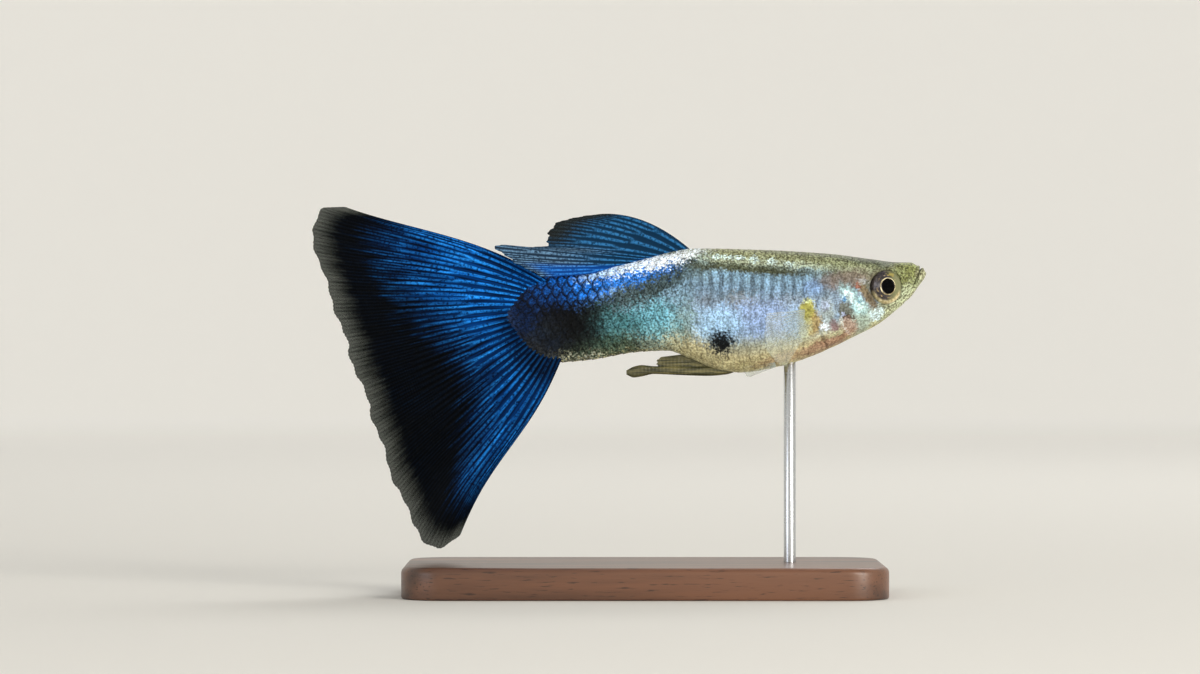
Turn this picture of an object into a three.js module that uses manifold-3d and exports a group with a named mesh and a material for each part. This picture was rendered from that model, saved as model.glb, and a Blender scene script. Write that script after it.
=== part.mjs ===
// Life-size model of a male fancy guppy, hovering over a plain display stand.
// Millimetres, +Z up. The fish looks along +X and its right side faces -Y.
import * as THREE from "three";
import { mergeVertices } from "three/addons/utils/BufferGeometryUtils.js";
import Module from "manifold-3d";

const wasm = await Module();
wasm.setup();

// Driving dimensions. A place on the fish is given as [back, up]: how far behind the tip
// of the snout it lies, and how far above or below that tip.
const snoutX = 23.1; // the tip of the snout, ahead of the origin
const snoutZ = 24.1; // the same tip, above the floor
const bodyLength = 30.9; // snout to the end of the scaled tail stalk
const seam = 0.3; // gap between two pieces that touch
const membrane = 0.5; // thickness of a fin between its rays
const finTip = 0.26; // thickness at a fin's outer edge

const backLine = [
  [0, 0.02], [0.14, 0.24], [0.65, 0.55], [1.15, 0.79], [2.0, 0.8], [4.2, 1.05], [7.2, 1.43],
  [12.4, 1.73], [17.4, 1.84], [19.2, 1.55], [21.0, 1.06], [23.4, 0.48], [26.0, 0.0],
  [28.6, -0.28], [29.9, -0.85], [30.9, -2.0],
];
const bellyLine = [
  [0, -0.12], [0.12, -0.42], [0.45, -0.86], [1.2, -1.88], [2.3, -2.85], [3.6, -3.85],
  [5.2, -4.68], [7.9, -5.98], [10.9, -6.98], [13.9, -7.46], [15.4, -7.3], [17.7, -6.38],
  [19.4, -5.82], [21.5, -5.9], [25.2, -6.5], [27.7, -6.68], [29.0, -6.38], [30.1, -5.5],
  [30.9, -4.4],
];
const halfWidth = [
  [0, 0.4], [0.14, 0.66], [0.5, 0.92], [1.2, 1.22], [2.0, 1.5], [3.0, 1.76], [4.2, 2.0],
  [5.7, 2.26], [7.8, 2.42], [12.4, 2.32], [17.4, 1.9], [23.0, 1.26], [27.5, 0.8], [30.9, 0.42],
];
const widestLevel = [
  [0, -0.05], [1.2, -0.55], [3.0, -0.95], [5.7, -1.9], [9.4, -2.7], [14, -2.9], [19, -2.3],
  [25, -2.9], [30.9, -3.2],
];
const upperFullness = [[0, 2.3], [3, 2.6], [8, 2.35], [16, 2.1], [30.9, 2.0]];
const lowerFullness = [[0, 2.1], [3, 1.8], [9, 1.95], [30.9, 2.0]];

const eye = { at: [2.98, -0.98], radius: 1.14, depth: 0.78, out: 1.3 };
const pupil = { radius: 0.47, forward: 0.16, proud: 0.07 };
const nostril = { at: [1.5, 0.42], side: 0.85, radius: 0.17 };
const lip = { radius: 0.15, length: 1.5 };
const gillPlate = { thickness: 0.85, recess: 1.25 };

const base = { length: 36, width: 18, height: 2.4, corner: 3.2, bevel: 0.35, centreX: 2 };
const rod = { back: 10.2, radius: 0.45, sides: 16 };

// Colours and finishes, read from the fish.
const finish = (color, roughness, metalness = 0) =>
  new THREE.MeshStandardMaterial({ color, roughness, metalness });
const olive = finish("#8f8a63", 0.45, 0.1);
const flank = finish("#93a6bd", 0.32, 0.35);
const stalkBlue = finish("#2b5f9f", 0.35, 0.4);
const gillSilver = finish("#a9b0aa", 0.3, 0.4);
const jawCream = finish("#b3ae8c", 0.45, 0.1);
const tailBlue = finish("#1f4f9c", 0.4, 0.3);
const backFinBlue = finish("#35658f", 0.45, 0.2);
const clearFin = finish("#c3c5b6", 0.4);
const cream = finish("#c2b184", 0.5);
const iris = finish("#4b463f", 0.25, 0.3);
const walnut = finish("#4a2f1f", 0.5);
const steel = finish("#b9bcc0", 0.25, 1);

// A smooth line through a few [place, value] stations, never overshooting between them.
function lineThrough(stations) {
  const slopes = stations.map((s, i) => {
    if (i === 0 || i === stations.length - 1) return null;
    const [before, after] = [stations[i - 1], stations[i + 1]];
    const left = (s[1] - before[1]) / (s[0] - before[0]);
    const right = (after[1] - s[1]) / (after[0] - s[0]);
    return left * right <= 0 ? 0 : (2 * left * right) / (left + right);
  });
  const secant = (i) =>
    (stations[i + 1][1] - stations[i][1]) / (stations[i + 1][0] - stations[i][0]);
  slopes[0] = secant(0);
  slopes[slopes.length - 1] = secant(stations.length - 2);
  return (place) => {
    const last = stations.length - 2;
    let i = 0;
    while (i < last && place > stations[i + 1][0]) i++;
    const span = stations[i + 1][0] - stations[i][0];
    const t = THREE.MathUtils.clamp((place - stations[i][0]) / span, 0, 1);
    const rise = t * t * (3 - 2 * t);
    return (
      stations[i][1] * (1 - rise) + stations[i + 1][1] * rise +
      span * (slopes[i] * t * (1 - t) ** 2 - slopes[i + 1] * t * t * (1 - t))
    );
  };
}

const top = lineThrough(backLine);
const bottom = lineThrough(bellyLine);
const side = lineThrough(halfWidth);
const level = lineThrough(widestLevel);
const upper = lineThrough(upperFullness);
const lower = lineThrough(lowerFullness);

// A [back, up] place and a distance to the left as a point of the part's frame.
const toPart = ([back, up], left = 0) => new THREE.Vector3(snoutX - back, left, snoutZ + up);

// A closed mesh over rings that all have the same number of points, one after another.
function ringMesh(rings) {
  const around = rings[0].length;
  const points = rings.flat();
  const middle = (ring) =>
    ring.reduce((sum, p) => sum.add(p), new THREE.Vector3()).divideScalar(around);
  const [first, last] = [points.length, points.length + 1];
  points.push(middle(rings[0]), middle(rings[rings.length - 1]));
  const index = [];
  for (let k = 0; k < around; k++) {
    const next = (k + 1) % around;
    for (let i = 0; i < rings.length - 1; i++) {
      const [a, b] = [i * around + k, i * around + next];
      index.push(a, b, b + around, a, b + around, a + around);
    }
    const end = (rings.length - 1) * around;
    index.push(first, next, k, last, end + k, end + next);
  }
  const mesh = new THREE.BufferGeometry().setFromPoints(points);
  return mesh.setIndex(index);
}

// A solid from a closed mesh, turned face out if it came inside out.
function solidOf(geometry) {
  const bare = geometry.clone();
  bare.deleteAttribute("normal");
  bare.deleteAttribute("uv");
  const merged = mergeVertices(bare, 1e-4);
  const vertProperties = merged.attributes.position.array;
  const triVerts = new Uint32Array(merged.index.array);
  const made = new wasm.Manifold(new wasm.Mesh({ numProp: 3, vertProperties, triVerts }));
  if (made.volume() > 0) return made;
  for (let i = 0; i < triVerts.length; i += 3)
    [triVerts[i + 1], triVerts[i + 2]] = [triVerts[i + 2], triVerts[i + 1]];
  return new wasm.Manifold(new wasm.Mesh({ numProp: 3, vertProperties, triVerts }));
}

// The largest closed surface of a solid: loose scraps and sealed hollows are dropped.
function mainPiece(solid) {
  return solid.decompose().reduce((best, s) => (s.volume() > best.volume() ? s : best));
}

function geometryOf(solid) {
  const mesh = mainPiece(solid).getMesh();
  const geometry = new THREE.BufferGeometry();
  geometry.setAttribute("position", new THREE.BufferAttribute(mesh.vertProperties, 3));
  geometry.setIndex(new THREE.BufferAttribute(mesh.triVerts, 1));
  geometry.computeVertexNormals();
  return geometry;
}

// One upright section of the body, egg-shaped, with its widest level between back and belly.
// It can be grown sideways and upright by different margins.
function section(back, around, sideways, upright = sideways) {
  const reach = THREE.MathUtils.clamp(back, 0, bodyLength);
  const [high, low] = [top(reach) + upright, bottom(reach) - upright];
  const wide = side(reach) + sideways;
  const middle = level(reach);
  return Array.from({ length: around }, (_, k) => {
    const angle = (2 * Math.PI * k) / around;
    const [c, s] = [Math.cos(angle), Math.sin(angle)];
    const power = 2 / (s > 0 ? upper(reach) : lower(reach));
    const left = wide * Math.sign(c) * Math.abs(c) ** power;
    const rise = Math.abs(s) ** power * (s > 0 ? high - middle : low - middle);
    return toPart([back, middle + rise], left);
  });
}

// Half the body's width at a place and height, on its surface.
function widthAt([back, up]) {
  const [middle, over] = [level(back), up > level(back)];
  const reach = (up - middle) / ((over ? top(back) : bottom(back)) - middle);
  const fullness = over ? upper(back) : lower(back);
  return side(back) * Math.max(0, 1 - Math.abs(reach) ** fullness) ** (1 / fullness);
}

// Places for the sections between two ends, closer together on the head and at the tail.
function stations(from, to) {
  const places = from === 0 ? [0, 0.06, 0.14, 0.3] : [from];
  while (places[places.length - 1] < to - 0.2) {
    const here = places[places.length - 1];
    places.push(here + (here < 7 ? 0.45 : here < 28 ? 1.1 : 0.5));
  }
  places[places.length - 1] = to;
  return places;
}

// The whole body from snout to tail stalk, grown outwards by a margin.
function bodySolid(grow = 0) {
  const around = 30;
  const rings = stations(0, bodyLength).map((place) => section(place, around, grow));
  if (grow > 0) {
    rings.unshift(section(-grow, around, grow * 0.6));
    rings.push(section(bodyLength + grow, around, grow));
  }
  return solidOf(ringMesh(rings));
}

// The flesh under the gill covers: a narrower body, a set depth below the skin.
function core(depth) {
  const [from, to, taller] = [3.6, 11, 0.5];
  const rings = stations(from, to).map((place) => section(place, 30, -depth, taller));
  return solidOf(ringMesh(rings));
}

// A prism across the fish over an outline of [back, up] points.
function across(outline, from = -12, to = 12) {
  const shape = new THREE.Shape(
    outline.map(([back, up]) => new THREE.Vector2(snoutX - back, snoutZ + up)),
  );
  const prism = new THREE.ExtrudeGeometry(shape, { depth: to - from, bevelEnabled: false });
  return solidOf(prism.rotateX(Math.PI / 2).translate(0, to, 0));
}

// An open [back, up] line moved sideways by a distance, to its left as it runs.
function beside(line, distance) {
  return line.map(([back, up], i) => {
    const before = line[Math.max(i - 1, 0)];
    const after = line[Math.min(i + 1, line.length - 1)];
    const [run, rise] = [after[0] - before[0], after[1] - before[1]];
    const length = Math.hypot(run, rise);
    return [back - (rise / length) * distance, up + (run / length) * distance];
  });
}

// Points along a smooth [back, up] line through a few places.
function smooth(places, count) {
  const curve = new THREE.CatmullRomCurve3(places.map(([b, u]) => new THREE.Vector3(b, u, 0)));
  return curve.getSpacedPoints(count).map((p) => [p.x, p.y]);
}

// The gill slit, from the nape down to the throat; the head is ahead of it.
const gillSlit = smooth([[7.3, 3], [7.75, 0.2], [8.2, -2.1], [8.3, -3.6], [7.7, -5.0], [6.5, -7.4]], 14);
const headSide = (gap) => across([...beside(gillSlit, gap), [-3, -7.4], [-3, 3]]);

// The mouth runs steeply back from the upturned tip; the lower jaw is in front of it.
const jawLine = smooth(
  [[0.1, 1.1], [0.38, 0.42], [0.68, -0.35], [1.0, -1.05], [1.3, -1.75], [2.15, -3.6], [2.4, -4.6]],
  30,
);
const jawSide = (gap) => across([...beside(jawLine, gap), [-3, -4.6], [-3, 1.1]]);

// The gill cover's outline on the cheek; its rear runs past the slit, which trims it.
const gillOutline = smooth(
  [[9.4, -5.3], [7.3, -5.0], [5.9, -4.4], [5.2, -3.2], [5.6, -1.85], [7.0, -1.3], [9.4, -1.35]],
  14,
);
function outwards(outline, distance) {
  const centre = outline.reduce(([b, u], p) => [b + p[0], u + p[1]], [0, 0]);
  const [midBack, midUp] = centre.map((sum) => sum / outline.length);
  return outline.map(([back, up]) => {
    const length = Math.hypot(back - midBack, up - midUp);
    return [
      back + ((back - midBack) / length) * distance,
      up + ((up - midUp) / length) * distance,
    ];
  });
}

function ellipsoid(centre, [rx, ry, rz], segments = 16) {
  const ball = new THREE.SphereGeometry(1, segments, Math.round(segments * 0.7));
  return solidOf(ball.rotateX(Math.PI / 2).scale(rx, ry, rz).translate(...centre.toArray()));
}

// A round bar bent along a path, with flat closed ends.
function bar(places, radius, sides = 8) {
  const path = new THREE.CatmullRomCurve3(places);
  const round = new THREE.Shape().absarc(0, 0, radius, 0, 2 * Math.PI, false);
  const settings = { steps: 12, extrudePath: path, bevelEnabled: false, curveSegments: sides };
  return solidOf(new THREE.ExtrudeGeometry(round, settings));
}

const body = bodySolid();
const clearOfBody = bodySolid(seam);

// A lip along the rim of the mouth, on a line beside the jaw's, from corner to corner.
function lipSolid(offset) {
  const onHead = beside(jawLine, offset).filter(([back, up]) => back > 0.02 && up < top(back));
  const [tipBack, tipUp] = onHead[0];
  const half = onHead
    .slice(1)
    .filter(([back, up]) => Math.hypot(back - tipBack, up - tipUp) < lip.length);
  const left = half.map((place) => toPart(place, widthAt(place)));
  const right = half.map((place) => toPart(place, -widthAt(place)));
  return bar([...right.reverse(), toPart([tipBack, tipUp]), ...left], lip.radius);
}

function headSolid() {
  const left = toPart(nostril.at, nostril.side);
  const right = toPart(nostril.at, -nostril.side);
  const pit = Array(3).fill(nostril.radius);
  const sockets = [-1, 1].map((way) =>
    ellipsoid(
      toPart(eye.at, way * eye.out),
      [eye.radius + seam, eye.depth + seam, eye.radius + seam],
    ),
  );
  const cheeks = across(outwards(gillOutline, seam)).subtract(core(gillPlate.recess));
  return body
    .add(lipSolid(seam + 0.1))
    .intersect(headSide(0))
    .subtract(jawSide(seam))
    .subtract(cheeks)
    .subtract(sockets[0])
    .subtract(sockets[1])
    .subtract(ellipsoid(left, pit, 10))
    .subtract(ellipsoid(right, pit, 10));
}

const jawSolid = () => body.add(lipSolid(-0.08)).intersect(jawSide(0));

function gillCoverSolid(way) {
  const half = across(gillOutline, way > 0 ? 0.2 : -12, way > 0 ? 12 : -0.2);
  return body.intersect(half).intersect(headSide(0)).subtract(core(gillPlate.thickness));
}

function eyeSolid(way) {
  const ball = ellipsoid(toPart(eye.at, way * eye.out), [eye.radius, eye.depth, eye.radius]);
  const lensAt = toPart([eye.at[0] - pupil.forward, eye.at[1]], way * (eye.out + eye.depth * 0.86));
  const lens = ellipsoid(lensAt, [pupil.radius, eye.depth * 0.14 + pupil.proud, pupil.radius], 12);
  return ball.add(lens);
}

const between = (from, to) => across([[from, -12], [to, -12], [to, 5], [from, 5]]);
const stalkStart = 20.9; // where the trunk narrows into the tail stalk
const trunkSolid = () => body.subtract(headSide(seam)).intersect(between(0, stalkStart));
const stalkSolid = () => body.intersect(between(stalkStart + seam, bodyLength + 1));

// A fin as one closed plate: a grid from its root to its edge, with a ridge on both
// faces for each ray. A ray forks where the grid has four columns to it.
// root and edge give [back, up] for a share across the fin. bow curves its rays in the
// plane of the fin, and sway bends them out of it, to the left.
const straight = () => [0, 0];
function finMesh({
  rays, perRay, rows, root, edge, bow = straight, sway, ridge, trim, place = toPart,
}) {
  const columns = rays * perRay;
  const faces = [[], []];
  for (let i = 0; i <= columns; i++) {
    const share = i / columns;
    const inRay = (i % perRay) / perRay;
    const [from, to] = [root(share), edge(share)];
    for (let j = 0; j <= rows; j++) {
      const out = (j / rows) * (j === rows ? 1 + trim(share) : 1);
      const [backwards, upwards] = bow(share, out);
      const back = THREE.MathUtils.lerp(from[0], to[0], out) + backwards;
      const up = THREE.MathUtils.lerp(from[1], to[1], out) + upwards;
      const forked = THREE.MathUtils.smoothstep(out, 0.3, 0.65);
      const single = Math.sin(Math.PI * inRay);
      const double = Math.abs(Math.sin(2 * Math.PI * inRay));
      const raised = perRay < 4 ? single : THREE.MathUtils.lerp(single, double, forked);
      const thin = THREE.MathUtils.smoothstep(out, 0.7, 1);
      const half =
        THREE.MathUtils.lerp(membrane, finTip, thin) / 2 + raised * ridge * (1 - 0.6 * out);
      const bend = sway(share, out);
      faces[0].push(place([back, up], bend + half));
      faces[1].push(place([back, up], bend - half));
    }
  }
  const points = faces.flat();
  const count = faces[0].length;
  const at = (i, j, face) => face * count + i * (rows + 1) + j;
  const index = [];
  const quad = (a, b, c, d) => index.push(a, b, c, a, c, d);
  for (let i = 0; i < columns; i++) {
    for (let j = 0; j < rows; j++) {
      quad(at(i, j, 0), at(i + 1, j, 0), at(i + 1, j + 1, 0), at(i, j + 1, 0));
      const [a, b] = [at(i, j, 1), at(i + 1, j, 1)];
      index.push(a, b + 1, b, a, a + 1, b + 1);
    }
    quad(at(i + 1, 0, 0), at(i, 0, 0), at(i, 0, 1), at(i + 1, 0, 1));
    quad(at(i, rows, 0), at(i + 1, rows, 0), at(i + 1, rows, 1), at(i, rows, 1));
  }
  for (let j = 0; j < rows; j++) {
    quad(at(0, j, 0), at(0, j + 1, 0), at(0, j + 1, 1), at(0, j, 1));
    quad(at(columns, j + 1, 0), at(columns, j, 0), at(columns, j, 1), at(columns, j + 1, 1));
  }
  return new THREE.BufferGeometry().setFromPoints(points).setIndex(index);
}

// A function of the share along a smooth [back, up] line, even in length.
function along(places) {
  const curve = new THREE.CatmullRomCurve3(places.map(([b, u]) => new THREE.Vector3(b, u, 0)));
  return (share) => {
    const p = curve.getPointAt(THREE.MathUtils.clamp(share, 0, 1));
    return [p.x, p.y];
  };
}

// The notches between ray tips, uneven but the same each time.
const ragged = (depth, waves) => (share) =>
  depth * (Math.sin(waves * share * 6.28) + 0.7 * Math.sin(waves * 2.63 * share * 6.28 + 1.1)) * 0.5;

function caudalFinSolid() {
  const root = along([[28.4, -0.5], [29.7, -1.8], [30.2, -3.4], [29.4, -5.2], [27.3, -6.45]]);
  const edge = along([
    [43.6, 5.0], [45.4, 4.9], [46.1, 3.9], [46.1, 2.4], [45.0, -1.0], [43.0, -6.9],
    [41.2, -12.0], [39.9, -15.9], [38.3, -19.2], [37.5, -20.6], [36.4, -20.75], [34.9, -19.6],
  ]);
  return solidOf(
    finMesh({
      rays: 16,
      perRay: 4,
      rows: 9,
      root,
      edge,
      bow: (share, out) => {
        const nearTop = Math.max(0, 1 - 2.4 * share);
        const nearFoot = THREE.MathUtils.smoothstep(share, 0.55, 1);
        return [
          -0.32 * nearFoot * Math.sin(2 * Math.PI * out),
          0.68 * nearTop * 6.75 * out * (1 - out) ** 2,
        ];
      },
      sway: (share, out) =>
        out * out * (1.5 + 0.75 * Math.sin(9.4 * share + 0.6)) + 0.22 * out ** 3 * Math.sin(25 * share),
      ridge: 0.13,
      trim: ragged(0.022, 9),
    }),
  ).subtract(clearOfBody);
}

function dorsalFinSolid() {
  const root = along([[17.35, 1.5], [18.6, 1.2], [20.0, 0.9], [21.6, 0.55]]);
  const edge = along([
    [24.4, 4.42], [26.3, 4.18], [27.4, 3.85], [28.3, 3.1], [28.75, 2.5], [28.4, 2.05],
    [29.9, 1.95], [31.8, 2.1], [32.35, 1.75], [31.4, 1.35], [30.0, 0.75], [28.7, 0.2],
  ]);
  return solidOf(
    finMesh({
      rays: 7,
      perRay: 4,
      rows: 7,
      root,
      edge,
      bow: (share, out) => [0, 4 * out * (1 - out) * (0.85 * (1 - share) ** 2 - 0.12 * share)],
      sway: (share, out) =>
        0.15 * out * out * Math.sin(14 * share) - (0.35 + 1.1 * share) * out ** 1.5,
      ridge: 0.11,
      trim: ragged(0.03, 5),
    }),
  ).subtract(clearOfBody);
}

// The gonopodium: the long front rays of the anal fin, joined into a rod with a hooked tip.
const gonopodiumRod = [
  // behind the snout, upper edge, lower edge, half width
  [14.0, -6.5, -7.3, 0.42], [15.0, -6.85, -7.66, 0.42], [16.4, -6.95, -7.74, 0.36],
  [18.4, -6.96, -7.68, 0.31], [20.4, -6.92, -7.6, 0.28], [21.3, -6.84, -7.78, 0.3],
  [21.9, -6.98, -7.86, 0.27], [22.45, -7.28, -7.62, 0.16],
];
function gonopodiumSolid() {
  const sides = 12;
  const rings = gonopodiumRod.map(([back, high, low, half]) =>
    Array.from({ length: sides }, (_, k) => {
      const angle = (2 * Math.PI * k) / sides;
      const up = (high + low) / 2 + (Math.sin(angle) * (high - low)) / 2;
      return toPart([back, up], half * Math.cos(angle));
    }),
  );
  const fan = finMesh({
    rays: 4,
    perRay: 2,
    rows: 5,
    root: along([[16.6, -5.9], [15.9, -6.5], [15.2, -7.2]]),
    edge: along([[19.9, -6.3], [20.25, -6.6], [20.1, -7.05]]),
    sway: () => 0,
    ridge: 0.07,
    trim: ragged(0.02, 3),
  });
  return solidOf(ringMesh(rings)).add(solidOf(fan)).subtract(clearOfBody);
}

// A paired fin is drawn flat, its root at [0, 0] and its rays running back, then turned.
// sweep leans it down from level, splay out from the flank, and roll lifts its lower edge.
function pairedFinSolid(fin) {
  const { way, rootAt, out, length, rootHalf, spread, sweep, splay, roll, rays, rows } = fin;
  const fanAt = (share) => sweep + spread * (share - 0.5);
  const place = ([back, up], thick) => {
    const flat = new THREE.Vector3(-back, thick, up);
    flat.applyAxisAngle(new THREE.Vector3(1, 0, 0), -roll);
    flat.applyAxisAngle(new THREE.Vector3(0, 0, 1), -splay);
    flat.y *= way;
    return flat.add(toPart(rootAt, way * out));
  };
  const lean = (share) => [
    rootHalf * Math.sin(sweep) * (0.5 - share) * 2,
    rootHalf * Math.cos(sweep) * (0.5 - share) * 2,
  ];
  const reach = (share) => length * (0.72 + 0.28 * Math.sin(Math.PI * (0.15 + 0.7 * share)));
  const mesh = finMesh({
    rays,
    perRay: 2,
    rows,
    root: lean,
    edge: (share) => {
      const [back, up] = lean(share);
      return [
        back + reach(share) * Math.cos(fanAt(share)),
        up - reach(share) * Math.sin(fanAt(share)),
      ];
    },
    sway: (share, far) => 0.12 * far * Math.sin(9 * share),
    ridge: 0.06,
    trim: ragged(0.02, 4),
    place,
  });
  return solidOf(mesh).subtract(clearOfBody);
}

const pectoral = {
  rootAt: [9.0, -3.4], out: 2.1, length: 4.5, rootHalf: 0.75, spread: 0.85, sweep: 0.5,
  splay: 0.72, roll: 0.1, rays: 9, rows: 6,
};
const pelvic = {
  rootAt: [11.3, -6.85], out: 0.8, length: 2.5, rootHalf: 0.22, spread: 0.42, sweep: 0.27,
  splay: 0.06, roll: 0.7, rays: 5, rows: 5,
};

function standBaseGeometry() {
  const { length, width, height, corner, bevel, centreX } = base;
  const [x, y] = [length / 2 - bevel, width / 2 - bevel];
  const plate = new THREE.Shape();
  const corners = [[x, -y, -90], [x, y, 0], [-x, y, 90], [-x, -y, 180]];
  for (const [cornerX, cornerY, degrees] of corners) {
    const start = THREE.MathUtils.degToRad(degrees);
    plate.absarc(
      cornerX - Math.sign(cornerX) * corner,
      cornerY - Math.sign(cornerY) * corner,
      corner,
      start,
      start + Math.PI / 2,
      false,
    );
  }
  const settings = {
    depth: height - 2 * bevel, bevelSize: bevel, bevelThickness: bevel, bevelSegments: 1,
    curveSegments: 5,
  };
  return new THREE.ExtrudeGeometry(plate, settings).translate(centreX, 0, bevel);
}

// The rod starts in the base's top face and ends just under the belly.
function standRodSolid() {
  const foot = toPart([rod.back, 0]).setZ(base.height + seam);
  const height = snoutZ - foot.z;
  const shaft = new THREE.CylinderGeometry(rod.radius, rod.radius, height, rod.sides);
  shaft.rotateX(Math.PI / 2).translate(foot.x, 0, foot.z + height / 2);
  return solidOf(shaft).subtract(clearOfBody);
}

const guppy = new THREE.Group();
function addNode(name, geometry, material) {
  const mesh = new THREE.Mesh(geometry, material);
  mesh.name = name;
  guppy.add(mesh);
}

addNode("head", geometryOf(headSolid()), olive);
addNode("lower_jaw", geometryOf(jawSolid()), jawCream);
addNode("trunk", geometryOf(trunkSolid()), flank);
addNode("tail_stalk", geometryOf(stalkSolid()), stalkBlue);
for (const [name, way] of [["left", 1], ["right", -1]]) {
  addNode(`gill_cover_${name}`, geometryOf(gillCoverSolid(way)), gillSilver);
  addNode(`eye_${name}`, geometryOf(eyeSolid(way)), iris);
  addNode(`pectoral_fin_${name}`, geometryOf(pairedFinSolid({ way, ...pectoral })), clearFin);
  addNode(`pelvic_fin_${name}`, geometryOf(pairedFinSolid({ way, ...pelvic })), clearFin);
}
addNode("dorsal_fin", geometryOf(dorsalFinSolid()), backFinBlue);
addNode("caudal_fin", geometryOf(caudalFinSolid()), tailBlue);
addNode("gonopodium", geometryOf(gonopodiumSolid()), cream);
addNode("stand_base", geometryOf(solidOf(standBaseGeometry())), walnut);
addNode("stand_rod", geometryOf(standRodSolid()), steel);

export default guppy;
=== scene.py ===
# A life-size male fancy guppy on a plain display stand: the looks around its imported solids.
import math
from functools import partial

import bpy
import numpy as np
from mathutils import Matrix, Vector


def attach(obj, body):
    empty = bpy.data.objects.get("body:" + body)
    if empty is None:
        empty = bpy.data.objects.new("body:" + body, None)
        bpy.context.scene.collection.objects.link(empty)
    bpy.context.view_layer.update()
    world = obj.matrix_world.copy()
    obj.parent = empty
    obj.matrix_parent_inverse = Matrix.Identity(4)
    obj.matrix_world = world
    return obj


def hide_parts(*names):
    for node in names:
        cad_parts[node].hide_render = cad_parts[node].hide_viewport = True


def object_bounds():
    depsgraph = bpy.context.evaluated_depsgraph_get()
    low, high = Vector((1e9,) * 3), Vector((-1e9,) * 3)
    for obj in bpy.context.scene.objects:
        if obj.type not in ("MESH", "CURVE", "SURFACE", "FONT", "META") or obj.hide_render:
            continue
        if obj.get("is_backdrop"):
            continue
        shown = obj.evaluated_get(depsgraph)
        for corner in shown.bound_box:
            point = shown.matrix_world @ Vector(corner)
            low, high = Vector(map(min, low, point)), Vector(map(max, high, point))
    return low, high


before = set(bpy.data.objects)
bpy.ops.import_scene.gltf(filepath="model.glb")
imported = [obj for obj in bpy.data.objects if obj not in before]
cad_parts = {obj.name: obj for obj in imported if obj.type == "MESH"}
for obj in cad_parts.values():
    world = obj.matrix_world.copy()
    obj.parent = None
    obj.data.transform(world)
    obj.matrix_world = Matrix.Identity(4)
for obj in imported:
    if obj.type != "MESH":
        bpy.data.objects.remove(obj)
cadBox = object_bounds()
mm = 0.001
draws = np.random.default_rng(11)


# Places on the fish are [back, side, up] in mm: behind the tip of the snout, to the fish's
# left, and above the tip. The tip is 23.1 ahead of the origin and 24.1 above the floor.
snout = {"x": 23.1, "z": 24.1}


def toFrame(places):
    places = np.asarray(places, float)
    out = np.empty_like(places)
    out[..., 0] = snout["x"] - places[..., 0]
    out[..., 1] = places[..., 1]
    out[..., 2] = snout["z"] + places[..., 2]
    return out * mm


def smoothStep(low, high, value):
    t = np.clip((value - low) / (high - low), 0, 1)
    return t * t * (3 - 2 * t)


def bump(value, width):
    return np.exp(-((value / width) ** 2))


# A smooth line through a few [place, value] stations, never overshooting between them.
def smoothLine(stations):
    x, y = np.array(stations, float).T
    secant = np.diff(y) / np.diff(x)
    slope = np.empty_like(y)
    slope[0], slope[-1] = secant[0], secant[-1]
    turn = secant[:-1] * secant[1:]
    total = np.where(turn > 0, secant[:-1] + secant[1:], 1)
    slope[1:-1] = np.where(turn > 0, 2 * turn / total, 0)

    def line(place):
        place = np.clip(place, x[0], x[-1])
        i = np.clip(np.searchsorted(x, place, side="right") - 1, 0, len(x) - 2)
        span = x[i + 1] - x[i]
        t = (place - x[i]) / span
        rise = t * t * (3 - 2 * t)
        ease = slope[i] * t * (1 - t) ** 2 - slope[i + 1] * t * t * (1 - t)
        return y[i] * (1 - rise) + y[i + 1] * rise + span * ease

    return line


# A curve through a few places, evenly spaced along its length.
def smoothCurve(places, count):
    places = np.array(places, float)
    ends = [2 * places[0] - places[1], 2 * places[-1] - places[-2]]
    p = np.vstack([ends[0], places, ends[1]])
    stepsInSpan = 24
    t = np.linspace(0, 1, stepsInSpan, endpoint=False)[:, None]
    runs = []
    for i in range(1, len(p) - 2):
        a, b, c, d = p[i - 1], p[i], p[i + 1], p[i + 2]
        bend = 2 * a - 5 * b + 4 * c - d
        runs.append(0.5 * (2 * b + (c - a) * t + bend * t**2 + (3 * b - a - 3 * c + d) * t**3))
    dense = np.vstack(runs + [places[-1:]])
    step = np.linalg.norm(np.diff(dense, axis=0), axis=1)
    length = np.concatenate([[0], np.cumsum(step)])
    even = np.linspace(0, length[-1], count)
    return np.stack([np.interp(even, length, column) for column in dense.T], axis=1)


# Signed distance in mm to a side-view curve, positive behind it as it runs down, and how
# far along the curve the nearest place lies.
def distanceTo(curve, back, up):
    best = np.full(back.shape, 1e9)
    sign = np.ones(back.shape)
    along = np.zeros(back.shape)
    start = 0.0
    for a, b in zip(curve[:-1], curve[1:]):
        run, rise = b - a
        length = math.hypot(run, rise)
        t = np.clip(((back - a[0]) * run + (up - a[1]) * rise) / length**2, 0, 1)
        away = np.hypot(back - a[0] - t * run, up - a[1] - t * rise)
        closer = away < best
        cross = run * (up - a[1]) - rise * (back - a[0])
        best = np.where(closer, away, best)
        sign = np.where(closer, np.sign(cross), sign)
        along = np.where(closer, start + t * length, along)
        start += length
    return best * sign, along


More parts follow.
